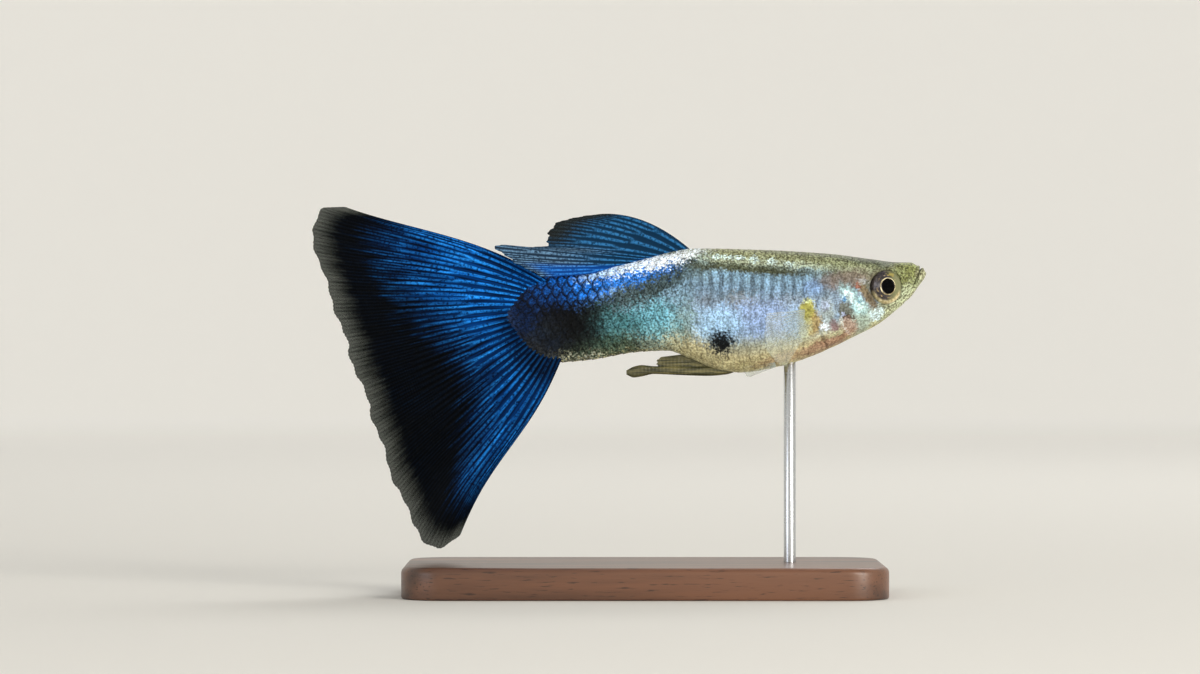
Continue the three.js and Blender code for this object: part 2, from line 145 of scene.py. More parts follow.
# The body's driving lines, the same as the solids'.
body = {
    "backLine": [
        [0, 0.02], [0.14, 0.24], [0.65, 0.55], [1.15, 0.79], [2.0, 0.8], [4.2, 1.05], [7.2, 1.43],
        [12.4, 1.73], [17.4, 1.84], [19.2, 1.55], [21.0, 1.06], [23.4, 0.48], [26.0, 0.0],
        [28.6, -0.28], [29.9, -0.85], [30.9, -2.0], [31.7, -2.9],
    ],
    "bellyLine": [
        [0, -0.12], [0.12, -0.42], [0.45, -0.86], [1.2, -1.88], [2.3, -2.85], [3.6, -3.85],
        [5.2, -4.68], [7.9, -5.98], [10.9, -6.98], [13.9, -7.46], [15.4, -7.3], [17.7, -6.38],
        [19.4, -5.82], [21.5, -5.9], [25.2, -6.5], [27.7, -6.68], [29.0, -6.38], [30.1, -5.5],
        [30.9, -4.4], [31.7, -3.6],
    ],
    "halfWidth": [
        [0, 0.4], [0.14, 0.66], [0.5, 0.92], [1.2, 1.22], [2.0, 1.5], [3.0, 1.76], [4.2, 2.0],
        [5.7, 2.26], [7.8, 2.42], [12.4, 2.32], [17.4, 1.9], [23.0, 1.26], [27.5, 0.8],
        [30.9, 0.42], [31.7, 0.12],
    ],
    "widestLevel": [
        [0, -0.05], [1.2, -0.55], [3.0, -0.95], [5.7, -1.9], [9.4, -2.7], [14, -2.9], [19, -2.3],
        [25, -2.9], [31.7, -3.25],
    ],
    "upperFullness": [[0, 2.3], [3, 2.6], [8, 2.35], [16, 2.1], [31.7, 2.0]],
    "lowerFullness": [[0, 2.1], [3, 1.8], [9, 1.95], [31.7, 2.0]],
    "length": 31.7,
}
topAt = smoothLine(body["backLine"])
bottomAt = smoothLine(body["bellyLine"])
widthAt = smoothLine(body["halfWidth"])
levelAt = smoothLine(body["widestLevel"])
upperAt = smoothLine(body["upperFullness"])
lowerAt = smoothLine(body["lowerFullness"])


# Upright sections of the body, each with evenly spaced points from the belly up the left.
def bodyRings(backs, count):
    angle = np.linspace(-math.pi / 2, 1.5 * math.pi, 721)
    across, lift = np.cos(angle), np.sin(angle)
    rings = np.empty((len(backs), count, 3))
    share = np.arange(count) / count
    for i, back in enumerate(backs):
        power = 2 / np.where(lift > 0, upperAt(back), lowerAt(back))
        level = levelAt(back)
        reach = np.where(lift > 0, topAt(back) - level, bottomAt(back) - level)
        side = widthAt(back) * np.sign(across) * np.abs(across) ** power
        up = level + np.abs(lift) ** power * reach
        length = np.concatenate([[0], np.cumsum(np.hypot(np.diff(side), np.diff(up)))])
        rings[i, :, 0] = back
        rings[i, :, 1] = np.interp(share, length / length[-1], side)
        rings[i, :, 2] = np.interp(share, length / length[-1], up)
    return rings


# Unit normals of a grid of points that closes on itself around.
def gridNormals(grid):
    along = np.gradient(grid, axis=0)
    around = (np.roll(grid, -1, axis=1) - np.roll(grid, 1, axis=1)) / 2
    normal = np.cross(around, along)
    return normal / np.maximum(np.linalg.norm(normal, axis=2, keepdims=True), 1e-9)


# Height in the body's depth: 0 along the belly, 1 along the back.
def depthShare(back, up):
    low, high = bottomAt(back), topAt(back)
    return np.clip((up - low) / np.maximum(high - low, 1e-3), 0, 1)


# Evenly spaced angles of a full turn.
def fullTurn(count):
    return np.arange(count) / count * 2 * math.pi


# Makes an object from points in metres and faces, with numbers kept at its points.
def makePiece(name, points, faces, numbers, material):
    mesh = bpy.data.meshes.new(name)
    mesh.from_pydata(np.asarray(points).reshape(-1, 3).tolist(), [], faces)
    mesh.update()
    for key, values in numbers.items():
        layer = mesh.attributes.new(key, "FLOAT", "POINT")
        layer.data.foreach_set("value", np.asarray(values, np.float32).ravel())
    mesh.materials.append(material)
    mesh.polygons.foreach_set("use_smooth", [True] * len(mesh.polygons))
    piece = bpy.data.objects.new(name, mesh)
    bpy.context.scene.collection.objects.link(piece)
    return piece


# A closed piece from a grid that runs around, fanned to one point over each end. It is turned
# inside out where its rows run the other way.
def makeTube(name, grid, ends, numbers, material, turned):
    rows, around = grid.shape[:2]
    faces = []
    for i in range(rows - 1):
        for k in range(around):
            n = (k + 1) % around
            a, b = i * around, (i + 1) * around
            faces.append((a + k, b + k, b + n, a + n))
    first, last = rows * around, rows * around + 1
    end = (rows - 1) * around
    for k in range(around):
        n = (k + 1) % around
        faces.append((first, k, n))
        faces.append((last, end + n, end + k))
    if turned:
        faces = [face[::-1] for face in faces]
    return makePiece(name, np.vstack([grid.reshape(-1, 3), ends]), faces, numbers, material)


# The model has one body, which every piece rides on. A piece may stand for some solids,
# which it hides.
def settle(piece, slot, *nodes):
    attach(piece, "root")
    if nodes:
        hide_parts(*nodes)


# The colours are sRGB hex values, turned to linear here.
def colour(hexValue):
    values = [int(hexValue[i:i + 2], 16) / 255 for i in (1, 3, 5)]
    return [v / 12.92 if v <= 0.04045 else ((v + 0.055) / 1.055) ** 2.4 for v in values] + [1]


def colours(shades):
    return {name: colour(shade) for name, shade in shades.items()}


# Sets a node's inputs to plain values, or links sockets to them.
def feed(node, inputs):
    for key, value in inputs.items():
        if isinstance(value, bpy.types.NodeSocket):
            node.id_data.links.new(value, node.inputs[key])
        else:
            node.inputs[key].default_value = value


# Adds a node of any kind with its settings and inputs, and gives one of its outputs.
def addNode(tree, kind, settings=None, inputs=None, output=0):
    node = tree.nodes.new("ShaderNode" + kind)
    for key, value in (settings or {}).items():
        setattr(node, key, value)
    feed(node, inputs or {})
    return node.outputs[output]


# A new material with the shader's plain values, and what adds nodes to it.
def newMaterial(name, values):
    material = bpy.data.materials.new(name)
    material.use_nodes = True
    shader = material.node_tree.nodes["Principled BSDF"]
    feed(shader, values)
    return material, shader, partial(addNode, material.node_tree)


# Settings that many nodes share. Map range takes a value at 0, its range at 1 and 2 and the
# new range at 3 and 4. Mix takes its share at 0 and two colours at 6 and 7, and gives 2.
smooth = {"interpolation_type": "SMOOTHSTEP"}
mixed = {"data_type": "RGBA"}
darkened = {"data_type": "RGBA", "blend_type": "MULTIPLY"}
plus = {"operation": "ADD"}
minus = {"operation": "SUBTRACT"}
times = {"operation": "MULTIPLY"}
timesPlus = {"operation": "MULTIPLY_ADD"}
larger = {"operation": "MAXIMUM"}
scaled = {"operation": "SCALE"}


print("stage: camera, floor and lights")
view = {
    "across": 90.0,  # mm of the fish's middle plane over the picture's width
    "distance": 350.0,  # mm
    "centre": (-1.33, 19.3),  # the plane's x and z in the middle of the picture, mm
    "sensor": 36.0,
}
cameraData = bpy.data.cameras.new("camera")
cameraData.sensor_width = view["sensor"]
cameraData.lens = view["sensor"] * view["distance"] / view["across"]
cameraData.clip_start = 0.01
cameraData.clip_end = 10
camera = bpy.data.objects.new("camera", cameraData)
camera.location = (view["centre"][0] * mm, -view["distance"] * mm, view["centre"][1] * mm)
camera.rotation_euler = (math.pi / 2, 0, 0)
bpy.context.scene.collection.objects.link(camera)
bpy.context.scene.camera = camera
bpy.context.scene.view_settings.view_transform = "Standard"

studio = {
    "floorFlat": 0.25, "floorRadius": 0.75, "bend": 0.5, "wallHeight": 1.6,  # m
    "bendSteps": 12, "around": 96,
    "floorColour": "#dedcd6",
    "glow": 0.36, "glowColour": "#f1efeb", "glowFullAt": 0.8,  # m from the middle
    "sky": "#e8ecf2", "skyStrength": 0.2,
    # name: place and aim in m, size in m, power in W, colour
    "lamps": {
        "key": ((0.3, -0.38, 0.18), (0.0, 0, 0.02), 0.26, 1.45, "#fffaf2"),
        "top": ((-0.05, -0.1, 0.5), (0.0, 0, 0.02), 0.3, 0.16, "#f6f9ff"),
        "fill": ((-0.4, -0.34, 0.07), (0.0, 0, 0.02), 0.3, 0.55, "#eef3ff"),
        "low": ((0.3, -0.28, 0.03), (0.01, 0, 0.02), 0.14, 0.5, "#fff8ee"),
        "rim": ((0.12, 0.26, 0.34), (0.0, 0, 0.02), 0.24, 0.5, "#ffffff"),
    },
}


# Seamless paper, matt and pale: a round floor that curves up on all sides, far from the fish,
# so that no edge shows. Light through the paper of its wall keeps it pale on all sides.
def buildStage():
    s = studio
    profile = [(s["floorFlat"], 0.0), (s["floorRadius"], 0.0)]
    for step in range(1, s["bendSteps"] + 1):
        turn = step / s["bendSteps"] * math.pi / 2
        profile.append((s["floorRadius"] + s["bend"] * math.sin(turn),
                        s["bend"] * (1 - math.cos(turn))))
    profile.append((s["floorRadius"] + s["bend"], s["wallHeight"]))
    around, turn = s["around"], fullTurn(s["around"])
    rings = [np.stack([r * np.cos(turn), r * np.sin(turn), np.full(around, z)], 1)
             for r, z in profile]
    points = np.vstack(rings + [[[0, 0, 0]]])
    faces = [(len(points) - 1, k, (k + 1) % around) for k in range(around)]
    for i in range(len(rings) - 1):
        a, b = i * around, (i + 1) * around
        for k in range(around):
            n = (k + 1) % around
            faces.append((a + k, b + k, b + n, a + n))
    paper, shader, add = newMaterial("paperBackdrop", {
        "Roughness": 0.9, "Base Color": colour(s["floorColour"]),
        "Emission Color": colour(s["glowColour"]),
    })
    where = add("TexCoord", output="Object")
    away = add("VectorMath", {"operation": "LENGTH"}, {0: where}, "Value")
    glow = add("MapRange", smooth, {0: away, 2: s["glowFullAt"], 4: s["glow"]})
    feed(shader, {"Emission Strength": glow})
    paper.cycles.emission_sampling = "NONE"
    makePiece("floor", points, faces, {}, paper)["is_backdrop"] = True


def buildLights():
    world = bpy.data.worlds.new("studio")
    bpy.context.scene.world = world
    world.use_nodes = True
    feed(world.node_tree.nodes["Background"], {0: colour(studio["sky"]), 1: studio["skyStrength"]})
    for name, (place, aim, size, power, tint) in studio["lamps"].items():
        lamp = bpy.data.lights.new(name, "AREA")
        lamp.shape = "DISK"
        lamp.size = size
        lamp.energy = power
        lamp.color = colour(tint)[:3]
        holder = bpy.data.objects.new(name, lamp)
        holder.location = place
        away = np.array(place) - np.array(aim)
        flat = math.hypot(away[0], away[1])
        holder.rotation_euler = (math.atan2(flat, away[2]), 0, math.atan2(away[0], -away[1]))
        bpy.context.scene.collection.objects.link(holder)


buildStage()
buildLights()


print("stage: markings")
# Soft marks on the body: [back, up] of the middle, half length and half height in mm, turn in
# degrees from level, softness of the edge, strength and colour. Later marks lie over earlier.
trunkMarks = [
    ((12.6, 1.25), (7.0, 0.75), 3, 0.5, 0.6, "#8b8c68"),  # olive back
    ((17.2, 0.5), (1.2, 0.9), -20, 0.5, 0.5, "#8fa9ae"),
    ((14.0, -2.0), (1.1, 0.5), 0, 0.6, 0.45, "#98958c"),  # tan bloom on the flank
    ((10.2, -2.35), (1.0, 0.5), 0, 0.6, 0.35, "#9c9c8a"),
    ((16.6, -2.2), (0.5, 0.9), 0, 0.6, 0.5, "#6f7884"),
    ((12.0, -3.4), (4.0, 1.3), 0, 0.55, 0.7, "#98afda"),  # lavender low on the flank
    ((15.6, -3.9), (1.7, 1.3), 0, 0.5, 0.8, "#a9d0ef"),
    ((9.9, -3.6), (0.8, 1.2), 0, 0.6, 0.6, "#9db8cc"),
    ((18.3, -3.4), (0.95, 1.6), 0, 0.5, 0.75, "#7f9a94"),  # grey green before the teal
    ((19.2, -1.7), (1.7, 1.3), 0, 0.5, 0.7, "#7898ac"),
    ((20.6, -3.6), (1.9, 1.6), 0, 0.5, 0.85, "#64a4b2"),  # teal
    ((23.9, -3.8), (2.5, 1.6), 0, 0.5, 0.9, "#33686a"),
    ((24.3, -5.5), (4.0, 0.85), -4, 0.5, 0.9, "#2e4438"),
    ((19.6, -5.45), (1.9, 0.4), 4, 0.5, 0.75, "#7f8d80"),
    ((26.0, -6.45), (2.2, 0.22), -3, 0.6, 0.7, "#8d938a"),  # pale lower edge of the stalk
    ((17.1, -6.15), (2.4, 0.6), 19, 0.5, 0.7, "#c9c093"),
    ((20.4, -0.8), (3.9, 1.0), -24, 0.5, 0.9, "#3b4846"),  # slanting olive band
    ((24.6, -2.5), (1.5, 0.7), -15, 0.5, 0.6, "#27373a"),
    ((25.9, -4.0), (1.7, 2.0), 0, 0.5, 0.85, "#1b2724"),
    ((22.9, 0.0), (4.4, 1.0), -13, 0.4, 0.97, "#2c7bdc"),  # blue under the white patch
    ((27.3, -0.95), (3.8, 1.6), -8, 0.35, 0.98, "#1b6fd4"),  # cobalt stalk
    ((28.9, -1.9), (2.4, 1.7), 0, 0.5, 0.85, "#06336f"),
    # the white patch is partly the fish's own white iridescence and partly painted highlight
    ((21.0, 0.72), (4.0, 0.52), -13, 0.5, 0.88, "#dfeefa"),  # white metallic patch
    ((18.9, 1.15), (1.8, 0.42), -13, 0.5, 0.9, "#eef4f8"),
    ((24.6, 0.05), (1.6, 0.5), -13, 0.6, 0.6, "#a9cdf2"),
    ((27.6, -3.95), (2.9, 2.0), -4, 0.45, 0.97, "#020203"),  # black patch
    ((30.7, -3.2), (1.5, 2.8), 0, 0.4, 0.98, "#031737"),  # the stalk's dark end
    ((28.9, -5.7), (2.0, 1.3), 0, 0.5, 0.95, "#0a1320"),
    ((15.4, -5.2), (1.0, 0.9), 0, 0.7, 0.8, "#1b2633"),  # belly spot
    ((15.4, -5.2), (0.75, 0.75), 0, 0.5, 0.97, "#07090c"),
]
headMarks = [
    ((3.2, 0.3), (4.8, 1.5), 5, 0.4, 0.9, "#888c68"),  # top of the head
    ((4.2, 0.98), (2.9, 0.5), 8, 0.5, 0.85, "#4f5443"),  # its dark ridge
    ((8.5, 1.5), (4.0, 0.4), 4, 0.5, 0.7, "#6a6d50"),
    ((1.2, 0.1), (1.6, 1.2), -30, 0.5, 0.75, "#7c7f4c"),  # snout
    ((1.35, -0.55), (0.55, 0.9), 20, 0.5, 0.6, "#65672f"),
    ((0.25, -0.2), (0.5, 0.5), 0, 0.5, 0.7, "#a8a587"),  # lip
    ((2.6, -2.3), (2.3, 0.75), -38, 0.4, 0.9, "#aeb492"),  # chin
    ((6.1, -0.5), (2.1, 0.72), -8, 0.5, 0.85, "#74665c"),  # brownish above the gill cover
    ((8.6, -1.15), (0.7, 0.5), 0, 0.5, 0.8, "#7f9dc6"),
    ((5.0, -3.35), (0.85, 1.3), 10, 0.4, 0.85, "#a0b3a7"),  # cheek
    ((5.55, -2.0), (1.35, 0.5), 48, 0.4, 0.9, "#a2c6c8"),  # shining band of the cheek
    ((5.9, -1.75), (0.55, 0.32), 48, 0.4, 0.9, "#d0e6ea"),
    ((5.0, -2.5), (0.45, 0.25), 40, 0.5, 0.8, "#cfe7e3"),
    ((6.2, -2.03), (0.16, 0.14), 0, 0.5, 0.8, "#4f90c8"),
    ((5.07, -2.15), (0.14, 0.1), 0, 0.5, 0.7, "#4a8fae"),
    ((4.5, -1.65), (1.05, 0.38), 55, 0.4, 0.9, "#7f6d4c"),  # tan streak behind the eye
    ((4.0, -2.45), (0.3, 0.25), 0, 0.5, 0.7, "#6d5a41"),
    ((5.2, -1.02), (0.3, 0.2), 40, 0.5, 0.85, "#84503e"),  # red fleck
    ((4.85, -0.6), (0.4, 0.2), 0, 0.7, 0.45, "#c9d0d6"),
    ((3.75, -3.05), (0.62, 0.42), -40, 0.35, 0.9, "#cbe0e4"),  # silver on the jaw
    ((7.55, -3.1), (0.62, 1.1), 0, 0.4, 0.9, "#97a29f"),  # rear of the gill cover
    ((7.65, -2.5), (0.3, 0.4), 0, 0.6, 0.6, "#aebbdc"),
    ((6.15, -2.8), (0.6, 0.66), -28, 0.4, 0.92, "#5f5f50"),  # dark middle of the gill cover
    ((5.85, -3.3), (0.5, 0.16), 0, 0.4, 0.95, "#372f22"),
    ((6.3, -3.15), (0.14, 0.13), 0, 0.5, 0.9, "#b3bede"),
    ((5.85, -3.95), (0.6, 0.62), -15, 0.4, 0.85, "#a48878"),
    ((6.95, -4.05), (0.34, 0.5), -15, 0.45, 0.85, "#7d6062"),
    ((7.7, -4.0), (0.34, 0.3), 0, 0.4, 0.95, "#e4edf7"),  # bright spot
    ((6.3, -3.75), (0.5, 0.07), 68, 0.5, 0.85, "#dcded4"),  # pale lines of bone
    ((5.95, -4.4), (0.42, 0.07), 40, 0.5, 0.85, "#dcded4"),
    ((7.4, -5.25), (2.2, 0.42), -24, 0.5, 0.85, "#987460"),  # reddish throat
    ((6.9, -4.62), (0.6, 0.16), -24, 0.5, 0.7, "#b9bd96"),
    ((10.6, -6.35), (2.4, 0.4), -16, 0.5, 0.6, "#a98a6c"),
    ((8.9, -2.9), (0.58, 0.95), 0, 0.3, 0.95, "#9a9440"),  # olive at the pectoral fin's root
    ((8.45, -3.9), (0.42, 0.85), 12, 0.4, 0.9, "#b69d62"),
    ((9.1, -4.2), (0.5, 0.8), 10, 0.5, 0.7, "#b8b88a"),
    ((8.75, -2.1), (0.32, 0.14), 0, 0.5, 0.9, "#cad49c"),
    ((12.2, 0.78), (5.2, 0.22), 4.4, 0.6, 0.5, "#b9c3ab"),  # pale streak under the back
    ((13.2, 0.28), (4.9, 0.3), 3.8, 0.5, 0.95, "#4a4c35"),  # olive band under the streak
]
streakSpots = [(15.6, 1.2), (14.8, 1.2), (14.0, 1.15), (12.9, 0.98), (11.5, 0.82), (10.3, 0.67)]
headMarks += [(spot, (0.34, 0.17), 0, 0.6, 0.8, "#d3eaea") for spot in streakSpots]
flankShades = [  # from the belly line to the back line
    (0.0, "#c2ba8a"), (0.12, "#bbb086"), (0.22, "#a9ad9b"), (0.32, "#93acc4"), (0.46, "#94abc4"),
    (0.56, "#7f90a0"), (0.66, "#7f9bb3"), (0.8, "#86a8be"), (0.9, "#8a9073"), (1.0, "#898b66"),
]
pigment = {
    # sizes in mm: a grain of pigment, coarser than in life so that it shows, cloudy patches,
    # and how finely marks wander and fray
    "grain": 0.147, "cloud": 0.588, "wander": 1.0, "fray": 0.1667,
    "bars": 0.77,  # from one bar to the next, one to a column of scales
    # darkest and brightest tint of the grains and of the clouds, times the colour below
    "grainTint": ([0.28, 0.26, 0.22, 1], [1.62, 1.7, 1.74, 1]),
    "cloudTint": ([0.72, 0.7, 0.68, 1], [1.22, 1.24, 1.3, 1]),
    "bar": "#526471", "orbit": "#4a4330", "paintedGlint": "#f4faff", "scaleEdge": "#03060d",
    # colour of the painted shade in the head's clefts and pits
    "crease": "#241f14",
    "orbitAt": (3.1, -1.06), "orbitHalf": (1.4, 1.49),
    # where a painted highlight lies over the white patch
    "paintedGlintAt": (20.2, 0.95), "paintedGlintHalf": (2.9, 0.3),
    "edgedAt": (27.9, -1.3), "edgedHalf": (4.0, 2.1),  # where scales have dark edges
}


# One group of nodes paints the skin and the scales alike. It gives their colour, how metallic
# they are, and a fine grain for bump.
def markingsGroup():
    p = pigment
    tree = bpy.data.node_groups.new("guppyMarkings", "ShaderNodeTree")
    add = partial(addNode, tree)
    for name, kind in (("Colour", "Color"), ("Metallic", "Float"), ("Grain", "Float")):
        tree.interface.new_socket(name, in_out="OUTPUT", socket_type="NodeSocket" + kind)
    where = add("TexCoord", output="Object")
    inMm = add("VectorMath", scaled, {0: where, 3: 1 / mm})
    apart = add("SeparateXYZ", {}, {0: inMm}).node.outputs
    back = add("Math", minus, {0: snout["x"], 1: apart[0]})
    up = add("Math", minus, {0: apart[2], 1: snout["z"]})
    flat = add("CombineXYZ", {}, {0: back, 1: up})
    elsewhere = add("VectorMath", plus, {0: inMm, 1: (31.7, 12.3, 5.1)})

    # two unlike noises, which push a mark's edge back and forth and up and down
    def shiftOver(size, detail):
        pushes = {}
        for i, place in enumerate((inMm, elsewhere)):
            pushes[i] = add("TexNoise", {}, {"Vector": place, "Scale": 1 / size, "Detail": detail})
        return add("CombineXYZ", {}, pushes)

    wander = shiftOver(p["wander"], 2.0)
    grains = shiftOver(p["fray"], 1.0)

    def frayed(place, shift, reach):
        centred = add("VectorMath", minus, {0: shift, 1: (0.5, 0.5, 0.0)})
        return add("VectorMath", timesPlus, {0: centred, 1: (reach, reach, 0), 2: place})

    # 0 outside a soft oval and its strength inside
    def softPatch(place, middle, size, turn, soft, strength):
        oval = add("TexGradient", {"gradient_type": "SPHERICAL"}, {0: place}, "Fac")
        at = oval.node.texture_mapping
        at.vector_type = "TEXTURE"
        at.translation = (middle[0], middle[1], 0)
        at.rotation = (0, 0, math.radians(turn))
        at.scale = (size[0] * (1 + soft), size[1] * (1 + soft), 1)
        return add("MapRange", smooth, {0: oval, 1: 0.0, 2: 2 * soft / (1 + soft), 4: strength})

    depth = add("Attribute", {"attribute_name": "depth"}, output="Fac")
    ramp = add("ValToRGB", {}, {0: depth})
    stops = ramp.node.color_ramp.elements
    while len(stops) < len(flankShades):
        stops.new(0.5)
    for stop, (share, shade) in zip(stops, flankShades):
        stop.position = share
        stop.color = colour(shade)
    # faint upright bars on the flank; the wave's own scale counts 20 to a full turn
    bars = add("TexWave", {"bands_direction": "X"}, {
        0: flat, "Scale": 2 * math.pi / 20 / p["bars"], "Distortion": 2.4, "Detail": 2.0,
        "Detail Scale": 1.6,
    }, "Fac")
    aboveBelly = add("MapRange", smooth, {0: depth, 1: 0.45, 2: 0.68})
    belowBack = add("MapRange", smooth, {0: depth, 1: 0.86, 2: 0.78})
    onFlank = add("Math", times, {0: aboveBelly, 1: belowBack})
    barred = add("MapRange", smooth, {0: bars, 1: 0.65, 2: 0.15, 4: 0.75})
    barred = add("Math", times, {0: barred, 1: onFlank})
    paint = add("Mix", mixed, {0: barred, 6: ramp, 7: colour(p["bar"])}, 2)
    trunkPlace = frayed(frayed(flat, wander, 0.9), grains, 2.2)
    headPlace = frayed(frayed(flat, wander, 0.5), grains, 0.7)
    for marks, place in ((trunkMarks, trunkPlace), (headMarks, headPlace)):
        for middle, size, turn, soft, strength, shade in marks:
            mask = softPatch(place, middle, size, turn, soft, strength)
            paint = add("Mix", mixed, {0: mask, 6: paint, 7: colour(shade)}, 2)
    rim = softPatch(headPlace, p["orbitAt"], p["orbitHalf"], 0, 0.08, 0.6)
    behind = add("MapRange", smooth, {0: back, 1: 1.8, 2: 3.2})
    rim = add("Math", times, {0: rim, 1: behind})
    paint = add("Mix", mixed, {0: rim, 6: paint, 7: colour(p["orbit"])}, 2)
    # pigment grains: dark cells over pale ones, strongest on the snout, the back and the stalk
    grain = add("TexNoise", {}, {"Vector": inMm, "Scale": 1 / p["grain"], "Detail": 1.5})
    grain = add("MapRange", smooth, {0: grain, 1: 0.3, 2: 0.7})
    tint = add("Mix", mixed, {0: grain, 6: p["grainTint"][0], 7: p["grainTint"][1]}, 2)
    strong = add("MapRange", smooth, {0: depth, 1: 0.72, 2: 0.9, 4: 0.4})
    onSnout = add("MapRange", smooth, {0: back, 1: 4.6, 2: 2.4, 4: 0.5})
    strong = add("Math", larger, {0: strong, 1: onSnout})
    onStalk = add("MapRange", smooth, {0: back, 1: 17.0, 2: 19.5, 4: 0.36})
    strong = add("Math", larger, {0: strong, 1: onStalk})
    strong = add("Math", plus, {0: strong, 1: 0.48})
    paint = add("Mix", darkened, {0: strong, 6: paint, 7: tint}, 2)
    # painted highlight: a bright core over the white patch, laid over the pigment grain
    paintedGlint = softPatch(trunkPlace, p["paintedGlintAt"], p["paintedGlintHalf"], -13, 0.7, 0.55)
    paint = add("Mix", mixed, {0: paintedGlint, 6: paint, 7: colour(p["paintedGlint"])}, 2)
    cloud = add("TexNoise", {}, {"Vector": inMm, "Scale": 1 / p["cloud"], "Detail": 3.0})
    cloud = add("MapRange", smooth, {0: cloud, 1: 0.3, 2: 0.7})
    tint = add("Mix", mixed, {0: cloud, 6: p["cloudTint"][0], 7: p["cloudTint"][1]}, 2)
    paint = add("Mix", darkened, {0: 0.75, 6: paint, 7: tint}, 2)
    # dark rear edges of the scales, strong on the blue stalk
    edged = softPatch(flat, p["edgedAt"], p["edgedHalf"], 0, 0.26, 0.9)
    edged = add("Math", plus, {0: edged, 1: 0.05})
    edge = add("Attribute", {"attribute_name": "rim"}, output="Fac")
    edged = add("Math", times, {0: edged, 1: edge})
    paint = add("Mix", mixed, {0: edged, 6: paint, 7: colour(p["scaleEdge"])}, 2)
    # painted shade in the head's clefts and pits: the mouth's cleft, the nostrils and the gill slit
    crease = add("Attribute", {"attribute_name": "crease"}, output="Fac")
    crease = add("Math", times, {0: crease, 1: 0.8})
    paint = add("Mix", mixed, {0: crease, 6: paint, 7: colour(p["crease"])}, 2)
    tone = add("Attribute", {"attribute_name": "tone"}, output="Fac")  # one scale's own
    tone = add("Math", timesPlus, {0: tone, 1: 0.16, 2: 0.92})
    toned = add("VectorMath", scaled, {0: paint, 3: tone})
    silvery = add("MapRange", smooth, {0: depth, 1: 0.15, 2: 0.4, 4: 0.15})
    belowBack = add("MapRange", smooth, {0: depth, 1: 0.92, 2: 0.8})
    silvery = add("Math", times, {0: silvery, 1: belowBack})
    behindHead = add("MapRange", smooth, {0: back, 1: 3.5, 2: 8.0})
    silvery = add("Math", times, {0: silvery, 1: behindHead})
    feed(tree.nodes.new("NodeGroupOutput"), {0: toned, 1: silvery, 2: grain})
    return tree


markings = markingsGroup()


def skinMaterial(name, grainDepth, values):
    material, shader, add = newMaterial(name, values)
    group = add("Group", {"node_tree": markings}).node.outputs
    raised = add("Bump", {}, {
        "Height": group["Grain"], "Strength": 0.35, "Distance": grainDepth * mm,
    })
    feed(shader, {"Base Color": group["Colour"], "Metallic": group["Metallic"], "Normal": raised})
    return material


# Living skin under its slime: a wet but weak shine over a fine grain of pigment cells.
wetSkin = skinMaterial("wetFishSkin", 0.03, {
    "Roughness": 0.42, "IOR": 1.38, "Specular IOR Level": 0.14,
    "Coat Weight": 0.06, "Coat Roughness": 0.1, "Coat IOR": 1.33,
})
# Clear horn over silvery guanine plates: each scale shines a little more than the skin.
guanineScale = skinMaterial("guanineScale", 0.02, {
    "Roughness": 0.34, "IOR": 1.5, "Specular IOR Level": 0.1,
    "Coat Weight": 0.05, "Coat Roughness": 0.12, "Coat IOR": 1.38,
})


print("stage: skin")
headForms = {
    # places and curves are [back, up]; a crease or ridge is its depth or height and half width
    "eye": (3.1, -1.06), "eyeHalf": (1.22, 1.31), "eyeDepth": 0.6,
    "orbitRim": (0.06, 0.09), "orbitDip": (0.03, 0.12),  # widths in shares of the eye
    "jawLine": [[0.1, 1.1], [0.38, 0.42], [0.68, -0.35], [1.0, -1.05], [1.3, -1.75], [2.15, -3.6]],
    "jawStart": 0.75,  # the curve meets the top of the snout this far along
    "gape": 1.6, "gapeEnd": 0.25,
    "cleft": (0.2, 0.055), "lip": (0.07, 0.09), "lipAway": 0.17, "jawFold": (0.05, 0.08),
    "nostrils": [(1.5, 0.42, 0.11), (1.98, 0.28, 0.08)],  # back, up, radius
    "nostrilDepth": 0.13, "nostrilRim": 0.035,
    "gillSlit": [[7.3, 3], [7.75, 0.2], [8.2, -2.1], [8.3, -3.6], [7.7, -5.0], [6.5, -7.4]],
    "coverRise": 0.02625, "gillGroove": (0.042, 0.14), "behindGill": 0.05,
    "cheekCrease": [[1.75, -1.9], [2.6, -2.62], [3.7, -2.75], [4.45, -2.1], [4.7, -1.1]],
    "preopercle": [[4.95, -1.3], [4.75, -2.6], [5.15, -3.8], [6.2, -4.65], [7.2, -5.0]],
    "cheekFold": (0.05, 0.1), "preopercleFold": (0.07, 0.1),
    "gillRays": [[5.6, -4.75], [6.7, -5.3], [7.6, -5.6]],
    "gillRay": (0.035, 0.06), "gillRayStep": 0.22,
}
skinGrid = {
    "around": 256, "tip": 1.4, "tipRings": 46, "headStep": 0.07, "headEnd": 9.3, "bodyStep": 0.2,
    "formsEnd": 10,
}


# How far a place lies from the line between the jaws, and 1 along its open cleft.
def mouthLine(back, up):
    f = headForms
    fromJaw, along = distanceTo(smoothCurve(f["jawLine"], 40), back, up)
    end = f["gape"] + f["jawStart"]
    return fromJaw, smoothStep(end, end - f["gapeEnd"], along) * (back < f["gape"])


